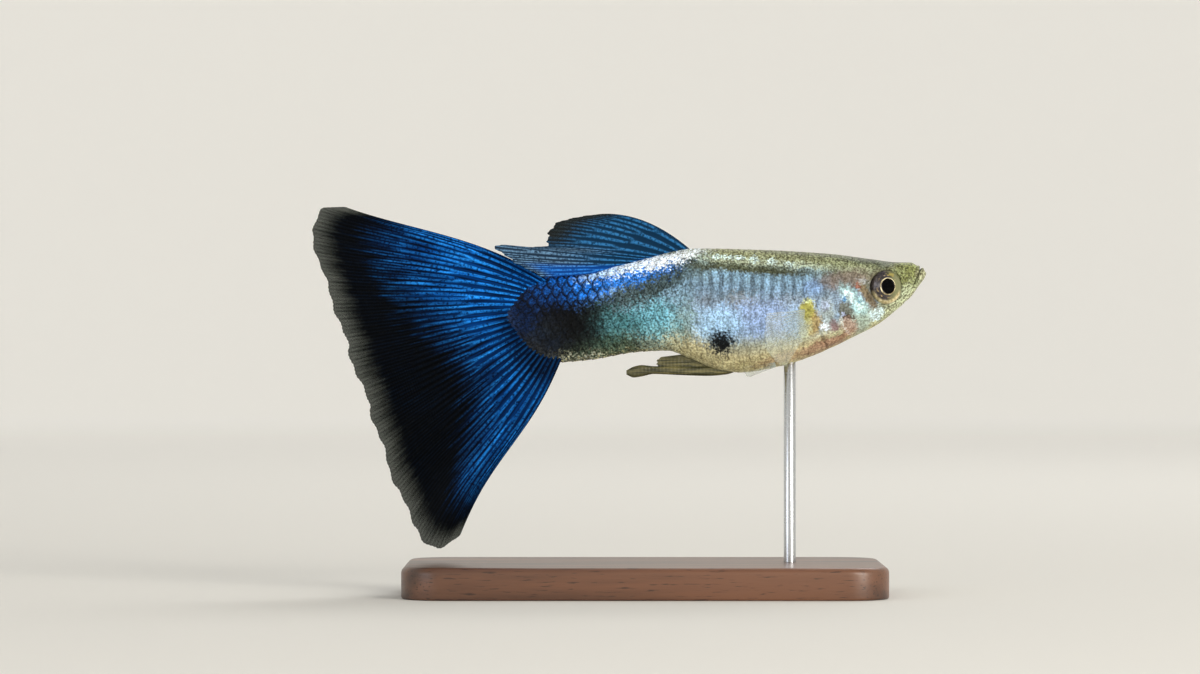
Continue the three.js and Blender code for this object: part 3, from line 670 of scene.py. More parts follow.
# How far the forms of the head stand out of the plain body, in mm.
def headRelief(back, side, up):
    f = headForms

    def form(name, away):
        height, width = f[name]
        return height * bump(away, width)

    fromJaw, inGape = mouthLine(back, up)
    relief = -form("cleft", fromJaw) * inGape
    relief += form("lip", np.abs(fromJaw) - f["lipAway"]) * inGape
    relief -= form("jawFold", fromJaw) * (1 - inGape) * smoothStep(-3.4, -2.4, up)
    fromEye = np.hypot((back - f["eye"][0]) / f["eyeHalf"][0], (up - f["eye"][1]) / f["eyeHalf"][1])
    relief -= f["eyeDepth"] * smoothStep(1.0, 0.88, fromEye)
    relief += form("orbitRim", fromEye - 1.09)
    relief -= form("orbitDip", fromEye - 1.36)
    for nostrilBack, nostrilUp, radius in f["nostrils"]:
        away = np.hypot(back - nostrilBack, up - nostrilUp)
        relief -= f["nostrilDepth"] * bump(away, radius)
        relief += f["nostrilRim"] * bump(away - radius * 1.5, radius * 0.45)
    onSide = smoothStep(0.3, 0.9, np.abs(side))
    fromSlit, _ = distanceTo(smoothCurve(f["gillSlit"], 40), back, up)
    free = smoothStep(-0.7, -1.6, up) * smoothStep(-6.1, -5.3, up) * onSide
    relief += f["coverRise"] * np.where(fromSlit < 0, np.exp(fromSlit / 0.9), 0) * free
    relief -= form("gillGroove", fromSlit - 0.1) * free
    relief -= f["behindGill"] * np.where(fromSlit > 0, np.exp(-fromSlit / 0.5), 0) * free
    for curve, fold in (("cheekCrease", "cheekFold"), ("preopercle", "preopercleFold")):
        depth, width = f[fold]
        away, _ = distanceTo(smoothCurve(f[curve], 30), back, up)
        relief -= depth * bump(away, width) * onSide
        relief += depth * 0.5 * bump(away + 0.25, width * 1.5) * onSide
    for i in range(3):
        curve = smoothCurve(f["gillRays"], 16) - [0, i * f["gillRayStep"]]
        away, _ = distanceTo(curve, back, up)
        relief -= form("gillRay", away)
    return relief


# How much painted shade darkens the clefts and pits of the head, from 0 to 1.
def headCreaseShade(back, up):
    f = headForms
    fromJaw, inGape = mouthLine(back, up)
    dark = bump(fromJaw, 0.06) * inGape
    for nostrilBack, nostrilUp, radius in f["nostrils"]:
        dark = np.maximum(dark, bump(np.hypot(back - nostrilBack, up - nostrilUp), radius * 0.8))
    fromSlit, _ = distanceTo(smoothCurve(f["gillSlit"], 40), back, up)
    free = smoothStep(-1.2, -2.2, up) * smoothStep(-6.0, -5.4, up)
    return np.maximum(dark, 0.08 * bump(fromSlit - 0.06, 0.07) * free)


def buildSkin():
    g = skinGrid
    tipBacks = g["tip"] * np.linspace(0.02, 1, g["tipRings"]) ** 2
    headBacks = np.arange(g["tip"] + g["headStep"], g["headEnd"] - 0.1, g["headStep"])
    bodyBacks = np.arange(g["headEnd"], body["length"], g["bodyStep"])
    grid = bodyRings(np.concatenate([tipBacks, headBacks, bodyBacks]), g["around"])
    back, side, up = grid[..., 0], grid[..., 1], grid[..., 2]
    onHead = back < g["formsEnd"]
    relief = np.where(onHead, headRelief(back, side, up), 0)
    moved = grid + gridNormals(grid) * relief[..., None]
    ends = [[0.0, 0, -0.05], [body["length"] + 0.02, 0, -3.25]]
    count = back.size + len(ends)
    numbers = {
        "depth": np.append(depthShare(back, up).ravel(), [0.5, 0.5]),
        "rim": np.zeros(count),
        "tone": np.full(count, 0.5),
        # painted shade in the mouth's cleft, the nostrils and the gill slit
        "crease": np.append(np.where(onHead, headCreaseShade(back, up), 0).ravel(), [0, 0]),
    }
    skin = makeTube("skin", toFrame(moved), toFrame(ends), numbers, wetSkin, turned=False)
    settle(skin, "flank_skin",
           "head", "lower_jaw", "gill_cover_left", "gill_cover_right", "trunk", "tail_stalk")


buildSkin()


print("stage: scales")
scaleCoat = {
    "pitch": (0.84, 0.74),  # mm from one scale to the next in a row, at the head and the tail
    "rows": 20,  # around the body
    "first": 4.6, "last": 30.4,  # mm behind the snout
    "behindSlit": 0.55,  # mm left bare behind the gill slit
    "nape": 1.1,  # mm below the back where scales also lie ahead of the slit
    "front": 0.95, "rear": 0.74,  # reach ahead of and behind the middle, in pitches
    "high": 0.93,  # half height, in rows
    "sunk": 0.035, "thickness": 0.018, "cup": 0.02,  # mm
    "proud": [[4.6, 0.008], [9, 0.014], [18, 0.022], [22, 0.045], [31.7, 0.05]],  # rear edge, mm
    "spokes": 20, "rings": 5,
    "gridFrom": 2.0, "gridStep": 0.1, "gridAround": 240,
    "patchHalf": 0.0015,  # one scale's part of the UV map
}


# The points of one scale, from its middle outwards in rings: how far each lies along it in
# pitches and across it in rows, and how near its rear edge.
def scalePattern():
    c = scaleCoat
    ring = np.arange(1, c["rings"] + 1) / c["rings"]
    radius, turn = np.meshgrid(ring, fullTurn(c["spokes"]), indexing="ij")
    along = radius * np.cos(turn) * np.where(np.cos(turn) > 0, c["rear"], c["front"])
    across = radius * np.sin(turn) * c["high"]
    rearEdge = smoothStep(-0.1, 0.5, np.cos(turn)) * smoothStep(0.58, 0.92, radius)
    return [np.append(0.0, values.ravel()) for values in (along, across, rearEdge)]


# The faces of one closed scale, and how many points each of its two sides has.
def scaleFaces():
    spokes, rings = scaleCoat["spokes"], scaleCoat["rings"]
    size = 1 + spokes * rings
    faces = []
    for k in range(spokes):
        n = (k + 1) % spokes
        faces.append((0, 1 + k, 1 + n))
        faces.append((size, size + 1 + n, size + 1 + k))
        for r in range(rings - 1):
            a, b = 1 + r * spokes, 1 + (r + 1) * spokes
            faces.append((a + k, b + k, b + n, a + n))
            faces.append((size + a + k, size + a + n, size + b + n, size + b + k))
        edge = 1 + (rings - 1) * spokes
        faces.append((edge + k, size + edge + k, size + edge + n, edge + n))
    return faces, size


# Gives what finds places on the plain body, and the way out from them, for distances behind
# the snout and shares of its girth.
def bodySurface():
    c = scaleCoat
    backs = np.arange(c["gridFrom"], body["length"] + 0.01, c["gridStep"])
    grid = bodyRings(backs, c["gridAround"])
    normals = gridNormals(grid)

    def onBody(back, share):
        i = np.clip((back - backs[0]) / c["gridStep"], 0, len(backs) - 1.001)
        k = (share % 1.0) * c["gridAround"]
        i0, k0 = i.astype(int), k.astype(int) % c["gridAround"]
        di, dk = (i - i0)[..., None], (k - np.floor(k))[..., None]
        k1 = (k0 + 1) % c["gridAround"]

        def blend(values):
            low = values[i0, k0] * (1 - dk) + values[i0, k1] * dk
            high = values[i0 + 1, k0] * (1 - dk) + values[i0 + 1, k1] * dk
            return low * (1 - di) + high * di

        return blend(grid), blend(normals)

    return onBody


# Joins one side's scales into a coat, each with a patch of its own in the UV map.
def makeCoat(name, scales):
    pattern, size = scaleFaces()
    joined = {key: np.concatenate([scale[key] for scale in scales]) for key in scales[0]}
    points, patches = joined.pop("points"), joined.pop("patch")
    faces = [tuple(v + 2 * size * n for v in face) for n in range(len(scales)) for face in pattern]
    coat = makePiece(name, toFrame(points), faces, joined, guanineScale)
    layer = coat.data.uv_layers.new(name="OFBake")
    corners = np.empty(len(coat.data.loops), np.int32)
    coat.data.loops.foreach_get("vertex_index", corners)
    layer.data.foreach_set("uv", patches[corners].astype(np.float32).ravel())
    settle(coat, "flank_skin")
    print(name, len(scales), "with", len(coat.data.polygons), "faces")


def buildScales():
    c = scaleCoat
    columns = [c["first"]]
    while columns[-1] < c["last"]:
        share = columns[-1] / body["length"]
        columns.append(columns[-1] + c["pitch"][0] + (c["pitch"][1] - c["pitch"][0]) * share)
    along, across, rearEdge = scalePattern()
    reach = (along + c["front"]) / (c["front"] + c["rear"])
    cup = c["cup"] * (across / c["high"]) ** 2
    inPatch = np.stack([along, across], 1) * c["patchHalf"]
    onBody = bodySurface()
    slit = smoothCurve(headForms["gillSlit"], 40)
    proudAt = smoothLine(c["proud"])
    backRow = c["rows"] // 2
    sides = {"left": [], "right": []}
    for row in range(c["rows"]):
        share = row / c["rows"]
        for i, (here, after) in enumerate(zip(columns[:-1], columns[1:])):
            pitch = after - here
            back = here + (0.5 * pitch if row % 2 else 0.0)
            centre, _ = onBody(np.array([back]), np.array([share]))
            fromSlit, _ = distanceTo(slit, centre[:, 0], centre[:, 2])
            onNape = centre[0, 2] > topAt(back) - c["nape"]
            if back > c["last"] or (fromSlit[0] < c["behindSlit"] and not onNape):
                continue
            places, outward = onBody(back + along * pitch, share + across / c["rows"])
            height = (c["sunk"] + proudAt(back)) * reach - c["sunk"] - cup
            upper = places + outward * height[:, None]
            under = places + outward * (height - c["thickness"])[:, None]
            # scales of the belly's and the back's row go to the two sides by turns
            isLeft = i % 2 if row % backRow == 0 else row < backRow
            sides["left" if isLeft else "right"].append({
                "points": np.vstack([upper, under]),
                "depth": np.tile(depthShare(places[:, 0], places[:, 2]), 2),
                "rim": np.tile(rearEdge, 2),
                "tone": np.full(2 * len(along), draws.random()),
                "patch": np.tile(np.array([back / body["length"], share]) + inPatch, (2, 1)),
            })
    for side, scales in sides.items():
        makeCoat("scales." + side, scales)


buildScales()


print("stage: eyes")
eyes = {
    # places and half sizes are [back, up], in mm like the rest
    "middle": (3.1, -1.06), "half": (1.21, 1.3), "depth": 0.74, "out": 1.32,
    "pupil": (2.95, -1.01), "pupilHalf": (0.5, 0.57), "proud": 0.075, "lensHalf": 0.07,
    "lensShare": 1.04, "holeShare": 0.98,  # sizes of the lens and the iris's hole, in pupils
    "rimLevel": 0.911,  # of the pupil's rim on the dome, in depths
    "rearDepth": 0.8,  # of the back of the eyeball, in depths
    "around": 72, "frontRings": 26, "rearRings": 12, "lensRings": 26,
}
irisLook = {
    "grain": 0.1818, "cloud": 0.4545,  # mm, coarser than real pigment cells so that they show
    "shades": {
        "dark": "#2c2729", "silver": "#57504f", "olive": "#7d7f59", "creamDark": "#ad9c6c",
        # gold is the ring's painted highlight, goldDark its own duller gold
        "cream": "#ecdfb0", "goldDark": "#94845c", "gold": "#f8eabc", "fleck": "#d9b978",
        "above": "#a99b50",
    },
}


# A fish's iris: dark silvery pigment under a clear wet cornea, olive in front and cream below,
# with a thin gold ring round the pupil that catches the eye.
def irisMaterial():
    look, c = irisLook, colours(irisLook["shades"])
    material, shader, add = newMaterial("goldRingedIris", {
        "Roughness": 0.3, "IOR": 1.4, "Metallic": 0.2,
        "Coat Weight": 0.6, "Coat Roughness": 0.03, "Coat IOR": 1.376,
    })
    reach, front, low = (
        add("Attribute", {"attribute_name": name}, output="Fac")
        for name in ("reach", "front", "low"))
    where = add("TexCoord", output="Object")
    fine = 1 / (look["grain"] * mm)
    coarse = 1 / (look["cloud"] * mm)
    grain = add("TexNoise", {}, {"Vector": where, "Scale": fine, "Detail": 3.0})
    cloud = add("TexNoise", {}, {"Vector": where, "Scale": coarse, "Detail": 2.0})
    silvery = add("MapRange", smooth, {0: grain, 1: 0.35, 2: 0.7})
    paint = add("Mix", mixed, {0: silvery, 6: c["dark"], 7: c["silver"]}, 2)
    ahead = add("Math", timesPlus, {0: cloud, 1: 0.8, 2: front})
    ahead = add("MapRange", smooth, {0: ahead, 1: 0.3, 2: 1.1, 4: 0.9})
    paint = add("Mix", mixed, {0: ahead, 6: paint, 7: c["olive"]}, 2)
    lowest = add("MapRange", smooth, {0: low, 1: 0.15, 2: 0.6})
    outer = add("MapRange", smooth, {0: reach, 1: 0.5, 2: 0.78})
    lowest = add("Math", times, {0: lowest, 1: outer})
    pale = add("MapRange", smooth, {0: grain, 1: 0.35, 2: 0.65})
    cream = add("Mix", mixed, {0: pale, 6: c["creamDark"], 7: c["cream"]}, 2)
    lowest = add("Math", times, {0: lowest, 1: 0.95})
    paint = add("Mix", mixed, {0: lowest, 6: paint, 7: cream}, 2)
    # gold: a thin ring round the pupil, broken in places, and a few flecks further out
    broken = add("Math", timesPlus, {0: cloud, 1: 0.07, 2: reach})
    inner = add("MapRange", smooth, {0: broken, 1: 0.05, 2: 0.07})
    outer = add("MapRange", smooth, {0: broken, 1: 0.17, 2: 0.14})
    ring = add("Math", times, {0: inner, 1: outer})
    # the ring's bright patches, placed at random, are painted highlight over its duller gold
    ringHighlight = add("MapRange", smooth, {0: cloud, 1: 0.38, 2: 0.5})
    gold = add("Mix", mixed, {0: ringHighlight, 6: c["goldDark"], 7: c["gold"]}, 2)
    paint = add("Mix", mixed, {0: ring, 6: paint, 7: gold}, 2)
    inner = add("MapRange", smooth, {0: broken, 1: 0.34, 2: 0.4})
    outer = add("MapRange", smooth, {0: broken, 1: 0.52, 2: 0.45})
    ring = add("Math", times, {0: inner, 1: outer})
    flecks = add("MapRange", smooth, {0: grain, 1: 0.55, 2: 0.65, 4: 0.8})
    flecks = add("Math", times, {0: ring, 1: flecks})
    paint = add("Mix", mixed, {0: flecks, 6: paint, 7: c["fleck"]}, 2)
    above = add("MapRange", smooth, {0: low, 1: -0.72, 2: -0.9})
    limits = (
        {0: reach, 1: 0.32, 2: 0.42}, {0: front, 1: -0.15, 2: 0.1}, {0: reach, 1: 0.85, 2: 0.7},
        {0: grain, 1: 0.36, 2: 0.6, 4: 0.9},
    )
    for limit in limits:
        above = add("Math", times, {0: above, 1: add("MapRange", smooth, limit)})
    paint = add("Mix", mixed, {0: above, 6: paint, 7: c["above"]}, 2)
    feed(shader, {"Base Color": paint})
    return material


# An eyeball: the iris's dome with a dip around its pupil, and a shallower back.
def buildIris(side, way):
    e = eyes
    turn = fullTurn(e["around"])
    rear = np.linspace(1.0, 0.1, e["rearRings"])[1:]
    share = np.append(np.linspace(0.0, 1.0, e["frontRings"]), rear)[:, None]
    ahead = np.arange(len(share))[:, None] < e["frontRings"]
    reach = np.where(ahead, share, 1.0)

    def spread(axis, wave):
        hole, half = e["holeShare"] * e["pupilHalf"][axis], e["half"][axis]
        radius = np.where(ahead, hole + (half - hole) * share, half * share)
        shift = (e["middle"][axis] - e["pupil"][axis]) * reach
        return e["pupil"][axis] + shift + radius * wave

    backs, ups = spread(0, np.cos(turn)), spread(1, np.sin(turn))
    away = np.hypot((backs - e["middle"][0]) / e["half"][0], (ups - e["middle"][1]) / e["half"][1])
    dome = np.sqrt(np.clip(1 - away**2, 0, 1)) * e["depth"]
    dip = 0.05 * bump(share - 0.5, 0.25) - 0.03 * bump(share - 0.06, 0.08)
    outs = e["out"] + np.where(ahead, dome - dip, -dome * e["rearDepth"])
    grid = np.stack([backs, outs * way, ups], axis=2)
    ends = [
        [e["pupil"][0], way * (e["out"] + 0.1), e["pupil"][1]],
        [e["middle"][0], way * (e["out"] - e["depth"] * e["rearDepth"]), e["middle"][1]],
    ]
    numbers = {
        "reach": np.append(np.repeat(reach, len(turn)), [0, 1]),
        "front": np.append(np.tile(-np.cos(turn), len(share)), [0, 0]),
        "low": np.append(np.tile(-np.sin(turn), len(share)), [0, 0]),
    }
    iris = makeTube("iris." + side, toFrame(grid), toFrame(ends), numbers, irisMetal, way > 0)
    settle(iris, "eye", "eye_" + side)


# The lens stands out of the pupil, and at the iris it is as wide as the pupil.
def buildLens(side, way):
    e = eyes
    turn = fullTurn(e["around"])
    lean = np.linspace(0.0, math.pi, e["lensRings"])[1:-1, None]
    middle = e["out"] + e["rimLevel"] * e["depth"] + e["proud"] - e["lensHalf"]
    radii = [half * e["lensShare"] for half in e["pupilHalf"]]
    grid = np.stack([
        e["pupil"][0] + radii[0] * np.sin(lean) * np.cos(turn),
        way * (middle + e["lensHalf"] * np.cos(lean) * np.ones(len(turn))),
        e["pupil"][1] + radii[1] * np.sin(lean) * np.sin(turn),
    ], axis=2)
    ends = [[e["pupil"][0], way * (middle + out), e["pupil"][1]]
            for out in (e["lensHalf"], -e["lensHalf"])]
    lens = makeTube("pupil." + side, toFrame(grid), toFrame(ends), {}, lensBlack, way > 0)
    settle(lens, "eye")


irisMetal = irisMaterial()
# A clear lens over the dark of the eye: black, with one small sharp highlight.
lensBlack, _, _ = newMaterial("eyeLens", {
    "Base Color": colour("#030304"), "Roughness": 0.04, "IOR": 1.42, "Specular IOR Level": 0.08,
})
for side, way in (("left", 1), ("right", -1)):
    buildIris(side, way)
    buildLens(side, way)


print("stage: fins")
rays = {  # what all fins share
    "forkSpread": (0.1, 0.14), "forkLength": (0.1, 0.12),  # in shares of the fin's length
    "tipRidge": 0.3,  # how much of a ray's height is left at the edge
    "trimFrom": 0.75,  # the outer part that the notches and the trim act on
}


# Crests across one ray, as one, two or four branches.
def crest(place, branches):
    return np.abs(np.sin(math.pi * branches * place)) ** (3 if branches == 1 else 1.6)


# The middle sheet of a fin with its rays. root and edge are curves of [back, up]; bow and sway
# move its rays up or back and sideways, for a share across the fin and one outwards.
def finSheet(fin):
    columns = fin["rays"] * fin["perRay"]
    share = np.linspace(0, 1, columns + 1)
    root = smoothCurve(fin["root"], columns + 1)
    edge = smoothCurve(fin["edge"], columns + 1)
    ray = np.minimum((share * fin["rays"]).astype(int), fin["rays"] - 1)
    inRay = share * fin["rays"] - ray
    length = np.linalg.norm(edge - root, axis=1)
    notch = fin["notch"] * (1 - crest(inRay, 4)) + fin["uneven"] * draws.random(fin["rays"])[ray]
    trimmed = fin["trim"](share) - notch / length
    shares, outs = np.meshgrid(share, np.linspace(0, 1, fin["rows"] + 1), indexing="ij")
    stretch = outs * (1 + trimmed[:, None] * smoothStep(rays["trimFrom"], 1.0, outs))
    bowBack, bowUp = fin["bow"](shares, stretch)
    back = root[:, :1] + (edge[:, :1] - root[:, :1]) * stretch + bowBack
    up = root[:, 1:] + (edge[:, 1:] - root[:, 1:]) * stretch + bowUp
    side = fin["sway"](shares, stretch)
    raised = crest(inRay, 1)[:, None]
    forks = zip((2, 4), fin["forks"], rays["forkSpread"], rays["forkLength"])
    for branches, start, spread, forkLength in forks:
        start = start + spread * draws.random(fin["rays"])[ray][:, None]
        forked = crest(inRay, branches)[:, None]
        raised = raised + (forked - raised) * smoothStep(start, start + forkLength, outs)
    thin = outs**0.45
    half = fin["halfAtRoot"] + (fin["halfAtEdge"] - fin["halfAtRoot"]) * thin
    half = half + raised * fin["ridge"] * (1 - (1 - rays["tipRidge"]) * thin)
    fromEdge = (1 - outs) * length[:, None]
    numbers = {"across": shares, "outward": outs, "ray": raised, "fromEdge": fromEdge}
    return np.stack([back, side, up], axis=2), half, numbers


# Closes the two faces of a sheet into one thin plate.
def plateFaces(columns, rows):
    faces = []
    count = (columns + 1) * (rows + 1)
    line = rows + 1
    for i in range(columns):
        for j in range(rows):
            a, b = i * line + j, (i + 1) * line + j
            faces.append((a, b, b + 1, a + 1))
            faces.append((count + a, count + a + 1, count + b + 1, count + b))
        for j in (0, rows):
            a, b = i * line + j, (i + 1) * line + j
            rim = (a, count + a, count + b, b)
            faces.append(rim if j == 0 else rim[::-1])
    for i in (0, columns):
        for j in range(rows):
            a = i * line + j
            rim = (a, a + 1, count + a + 1, count + a)
            faces.append(rim if i == 0 else rim[::-1])
    return faces


def finPlate(name, fin, material, zones=None, place=None):
    sheet, half, numbers = finSheet(fin)
    if zones:
        numbers.update(zones(numbers))
    thick = half[..., None] * [0, 1, 0]
    sides = [sheet + thick, sheet - thick]
    if place:
        sides = [place(grid) for grid in sides]
    numbers = {key: np.tile(values.ravel(), 2) for key, values in numbers.items()}
    faces = plateFaces(sheet.shape[0] - 1, sheet.shape[1] - 1)
    return makePiece(name, toFrame(sides), faces, numbers, material)


# An edge worn by depth, a share of the fin's length, in two sets of waves.
def ragged(depth, waves):
    def trim(share):
        first = np.sin(waves * share * 6.28)
        second = 0.7 * np.sin(waves * 2.63 * share * 6.28 + 1.1)
        return depth * (first + second) * 0.5

    return trim


def straight(share, out):
    return 0 * out, 0 * out


def caudalBow(share, out):
    nearTop = np.maximum(0, 1 - 2.4 * share)
    nearFoot = smoothStep(0.55, 1, share)
    bowBack = -0.32 * nearFoot * np.sin(2 * math.pi * out)
    return bowBack, 4.59 * nearTop * out * (1 - out) ** 2


def caudalSway(share, out):
    folds = 0.22 * out**3 * np.sin(25 * share)
    return out * out * (1.5 + 0.75 * np.sin(9.4 * share + 0.6)) + folds


caudal = {
    "rays": 27, "perRay": 16, "rows": 96, "forks": (0.24, 0.5), "notch": 0.04, "uneven": 0.12,
    "root": [[28.4, -0.5], [29.7, -1.8], [30.2, -3.4], [29.4, -5.2], [27.3, -6.45]],
    "edge": [
        [43.6, 5.0], [45.4, 4.9], [46.1, 3.9], [46.1, 2.4], [45.0, -1.0], [43.0, -6.9],
        [41.2, -12.0], [39.9, -15.9], [38.3, -19.2], [37.5, -20.6], [36.4, -20.75], [34.9, -19.6],
    ],
    "bow": caudalBow, "sway": caudalSway, "trim": ragged(0.014, 7.3),
    "halfAtRoot": 0.34, "halfAtEdge": 0.035, "ridge": 0.07,
    # widths of the hazy border and of the black zone, from the top of the fin to its foot
    "haze": [[0, 1.3], [0.12, 0.8], [0.3, 0.8], [0.6, 0.8], [0.85, 0.95], [1, 0.8]],
    "black": [
        [0, 3.2], [0.1, 4.4], [0.3, 5.2], [0.5, 7.0], [0.66, 8.0], [0.8, 6.6], [0.92, 3.6],
        [1, 1.6],
    ],
}


def caudalZones(numbers):
    share, fromEdge = numbers["across"], numbers["fromEdge"]
    haze, black = smoothLine(caudal["haze"]), smoothLine(caudal["black"])
    return {"haze": haze(share) - fromEdge, "blue": fromEdge - black(share)}


# Fine cross joints along the rays, as bump. long is the fin's length in mm, joint a joint's.
def jointedRays(add, outward, ray, long, joint):
    wave = add("Math", times, {0: outward, 1: round(long / joint) * 2 * math.pi})
    wave = add("Math", {"operation": "SINE"}, {0: wave})
    height = add("Math", times, {0: wave, 1: ray})
    return add("Bump", {}, {"Height": height, "Strength": 0.4, "Distance": 0.01 * mm})


tailLook = {
    "edge": 33.0, "long": 16.0,  # mm along the free edge, and from root to edge
    "grain": 0.1818, "cloud": 3.03, "joint": 0.2286,  # mm
    "streak": (0.3, 3.2), "wideStreak": 1.1,  # mm wide and long, and mm wide
    "cloudTint": ([0.42, 0.42, 0.46, 1], [1.1, 1.1, 1.1, 1]),
    "shades": {
        "filmDark": "#000d24", "film": "#00285c", "shineDark": "#064b98", "shine": "#2181d8",
        "soot": "#010203", "sootRay": "#0a0f14", "fog": "#2b2f2b", "fogRay": "#444942",
    },
}


# Veil fin: rays of bone under a film of skin. Blue pigment shines on the rays, the film
# between them is dark, and the free border is a thin grey haze.
def tailMaterial():
    look, c = tailLook, colours(tailLook["shades"])
    material, shader, add = newMaterial("blueVeilFin", {
        "Roughness": 0.45, "IOR": 1.4, "Specular IOR Level": 0.05,
    })
    across, outward, ray, blue, haze = (
        add("Attribute", {"attribute_name": name}, output="Fac")
        for name in ("across", "outward", "ray", "blue", "haze"))
    # places on the fin counted in streaks
    inStreaks = add("CombineXYZ", {}, {
        0: add("Math", times, {0: across, 1: look["edge"] / look["streak"][0]}),
        1: add("Math", times, {0: outward, 1: look["long"] / look["streak"][1]}),
    })
    streak = add("TexNoise", {}, {"Vector": inStreaks, "Scale": 1.0, "Detail": 2.0})
    where = add("TexCoord", output="Object")
    fine, coarse = (1 / (look[key] * mm) for key in ("grain", "cloud"))
    grain = add("TexNoise", {}, {"Vector": where, "Scale": fine, "Detail": 2.0})
    cloud = add("TexNoise", {}, {"Vector": where, "Scale": coarse, "Detail": 2.0})
    onRay = add("MapRange", smooth, {0: ray, 1: 0.2, 2: 0.85})
    grainy = add("MapRange", smooth, {0: grain, 1: 0.25, 2: 0.6})
    lit = add("Math", times, {0: onRay, 1: grainy})
    streaky = add("MapRange", smooth, {0: streak, 1: 0.3, 2: 0.7})
    film = add("Mix", mixed, {0: streaky, 6: c["filmDark"], 7: c["film"]}, 2)
    streaky = add("MapRange", smooth, {0: streak, 1: 0.32, 2: 0.72})
    shine = add("Mix", mixed, {0: streaky, 6: c["shineDark"], 7: c["shine"]}, 2)
    paint = add("Mix", mixed, {0: lit, 6: film, 7: shine}, 2)
    cloudy = add("MapRange", smooth, {0: cloud, 1: 0.35, 2: 0.62})
    tint = add("Mix", mixed, {0: cloudy, 6: look["cloudTint"][0], 7: look["cloudTint"][1]}, 2)
    outer = add("MapRange", smooth, {0: outward, 1: 0.15, 2: 0.6})
    paint = add("Mix", darkened, {0: outer, 6: paint, 7: tint}, 2)
    # some rays shine more than their neighbours, and all shine most near the stalk
    inWide = add("Math", times, {0: across, 1: look["edge"] / look["wideStreak"]})
    inWide = add("CombineXYZ", {}, {0: inWide, 1: outward})
    uneven = add("TexNoise", {}, {"Vector": inWide, "Scale": 1.0, "Detail": 2.0})
    uneven = add("MapRange", smooth, {0: uneven, 1: 0.3, 2: 0.7, 4: 0.9})
    fading = add("Math", timesPlus, {0: outward, 1: -1.1, 2: 1.3})
    uneven = add("Math", plus, {0: uneven, 1: fading})
    atRoot = add("MapRange", smooth, {0: outward, 1: 0.07, 2: 0.24, 4: 0.8})
    atRoot = add("Math", plus, {0: atRoot, 1: 0.2})
    upper = add("MapRange", smooth, {0: across, 1: 0.5, 2: 0.3, 4: 0.8})
    atRoot = add("Math", larger, {0: atRoot, 1: upper})
    uneven = add("Math", times, {0: uneven, 1: atRoot})
    lower = add("MapRange", smooth, {0: across, 1: 0.4, 2: 0.95, 4: -0.4})
    lower = add("Math", plus, {0: lower, 1: 1.0})
    uneven = add("Math", times, {0: uneven, 1: lower})
    paint = add("VectorMath", scaled, {0: paint, 3: uneven})
    # the blue runs out in streaks into the black zone
    centred = add("Math", minus, {0: streak, 1: 0.5})
    broken = add("Math", timesPlus, {0: centred, 1: 5.5, 2: blue})
    dark = add("MapRange", smooth, {0: broken, 1: 5.2, 2: -1.4, 4: 0.99})
    onRay = add("MapRange", smooth, {0: ray, 1: 0.3, 2: 1.0, 4: 0.35})
    soot = add("Mix", mixed, {0: onRay, 6: c["soot"], 7: c["sootRay"]}, 2)
    paint = add("Mix", mixed, {0: dark, 6: paint, 7: soot}, 2)
    fromGrain = add("Math", minus, {0: grain, 1: 0.5})
    hazy = add("Math", timesPlus, {0: fromGrain, 1: 0.7, 2: haze})
    hazy = add("Math", timesPlus, {0: centred, 1: 1.6, 2: hazy})
    hazy = add("MapRange", smooth, {0: hazy, 1: -1.3, 2: 1.0})
    onRay = add("MapRange", smooth, {0: ray, 1: 0.1, 2: 0.9})
    fog = add("Mix", mixed, {0: onRay, 6: c["fog"], 7: c["fogRay"]}, 2)
    paint = add("Mix", mixed, {0: hazy, 6: paint, 7: fog}, 2)
    clear = add("Math", timesPlus, {0: hazy, 1: -0.25, 2: 1.0})
    raised = jointedRays(add, outward, ray, look["long"], look["joint"])
    feed(shader, {"Base Color": paint, "Alpha": clear, "Normal": raised})
    return material


blueVeil = tailMaterial()
tail = finPlate("caudal_fin", caudal, blueVeil, caudalZones)
settle(tail, "tail_fin", "caudal_fin")


def dorsalBow(share, out):
    return 0 * out, 4 * out * (1 - out) * (0.85 * (1 - share) ** 2 - 0.2 * share)


def dorsalSway(share, out):
    return 0.15 * out * out * np.sin(14 * share) - (0.35 + 1.1 * share) * out**1.5


dorsal = {
    "rays": 9, "perRay": 14, "rows": 56, "forks": (0.3, 0.62), "notch": 0.1, "uneven": 0.15,
    "root": [[17.35, 1.5], [18.6, 1.2], [20.0, 0.9], [21.6, 0.55]],
    "edge": [
        [24.4, 4.42], [26.3, 4.18], [27.4, 3.85], [28.3, 3.1], [28.75, 2.5], [28.4, 2.05],
        [29.9, 1.95], [31.8, 2.1], [32.4, 1.75], [31.3, 1.05], [30.0, 0.3], [28.9, -0.3],
    ],
    "bow": dorsalBow, "sway": dorsalSway, "trim": ragged(0.03, 5),
    "halfAtRoot": 0.14, "halfAtEdge": 0.03, "ridge": 0.05,
}
backFinLook = {
    "grain": 0.1818, "long": 10.0, "joint": 0.2273,  # mm
    "shades": {
        "film": "#0a2a44", "ray": "#2e70a8", "lobe": "#1b2d40", "lobeRay": "#668db0",
        "dusk": "#091010", "duskRay": "#1c2a30", "strip": "#063a80", "stripRay": "#2b7cd6",
    },
}


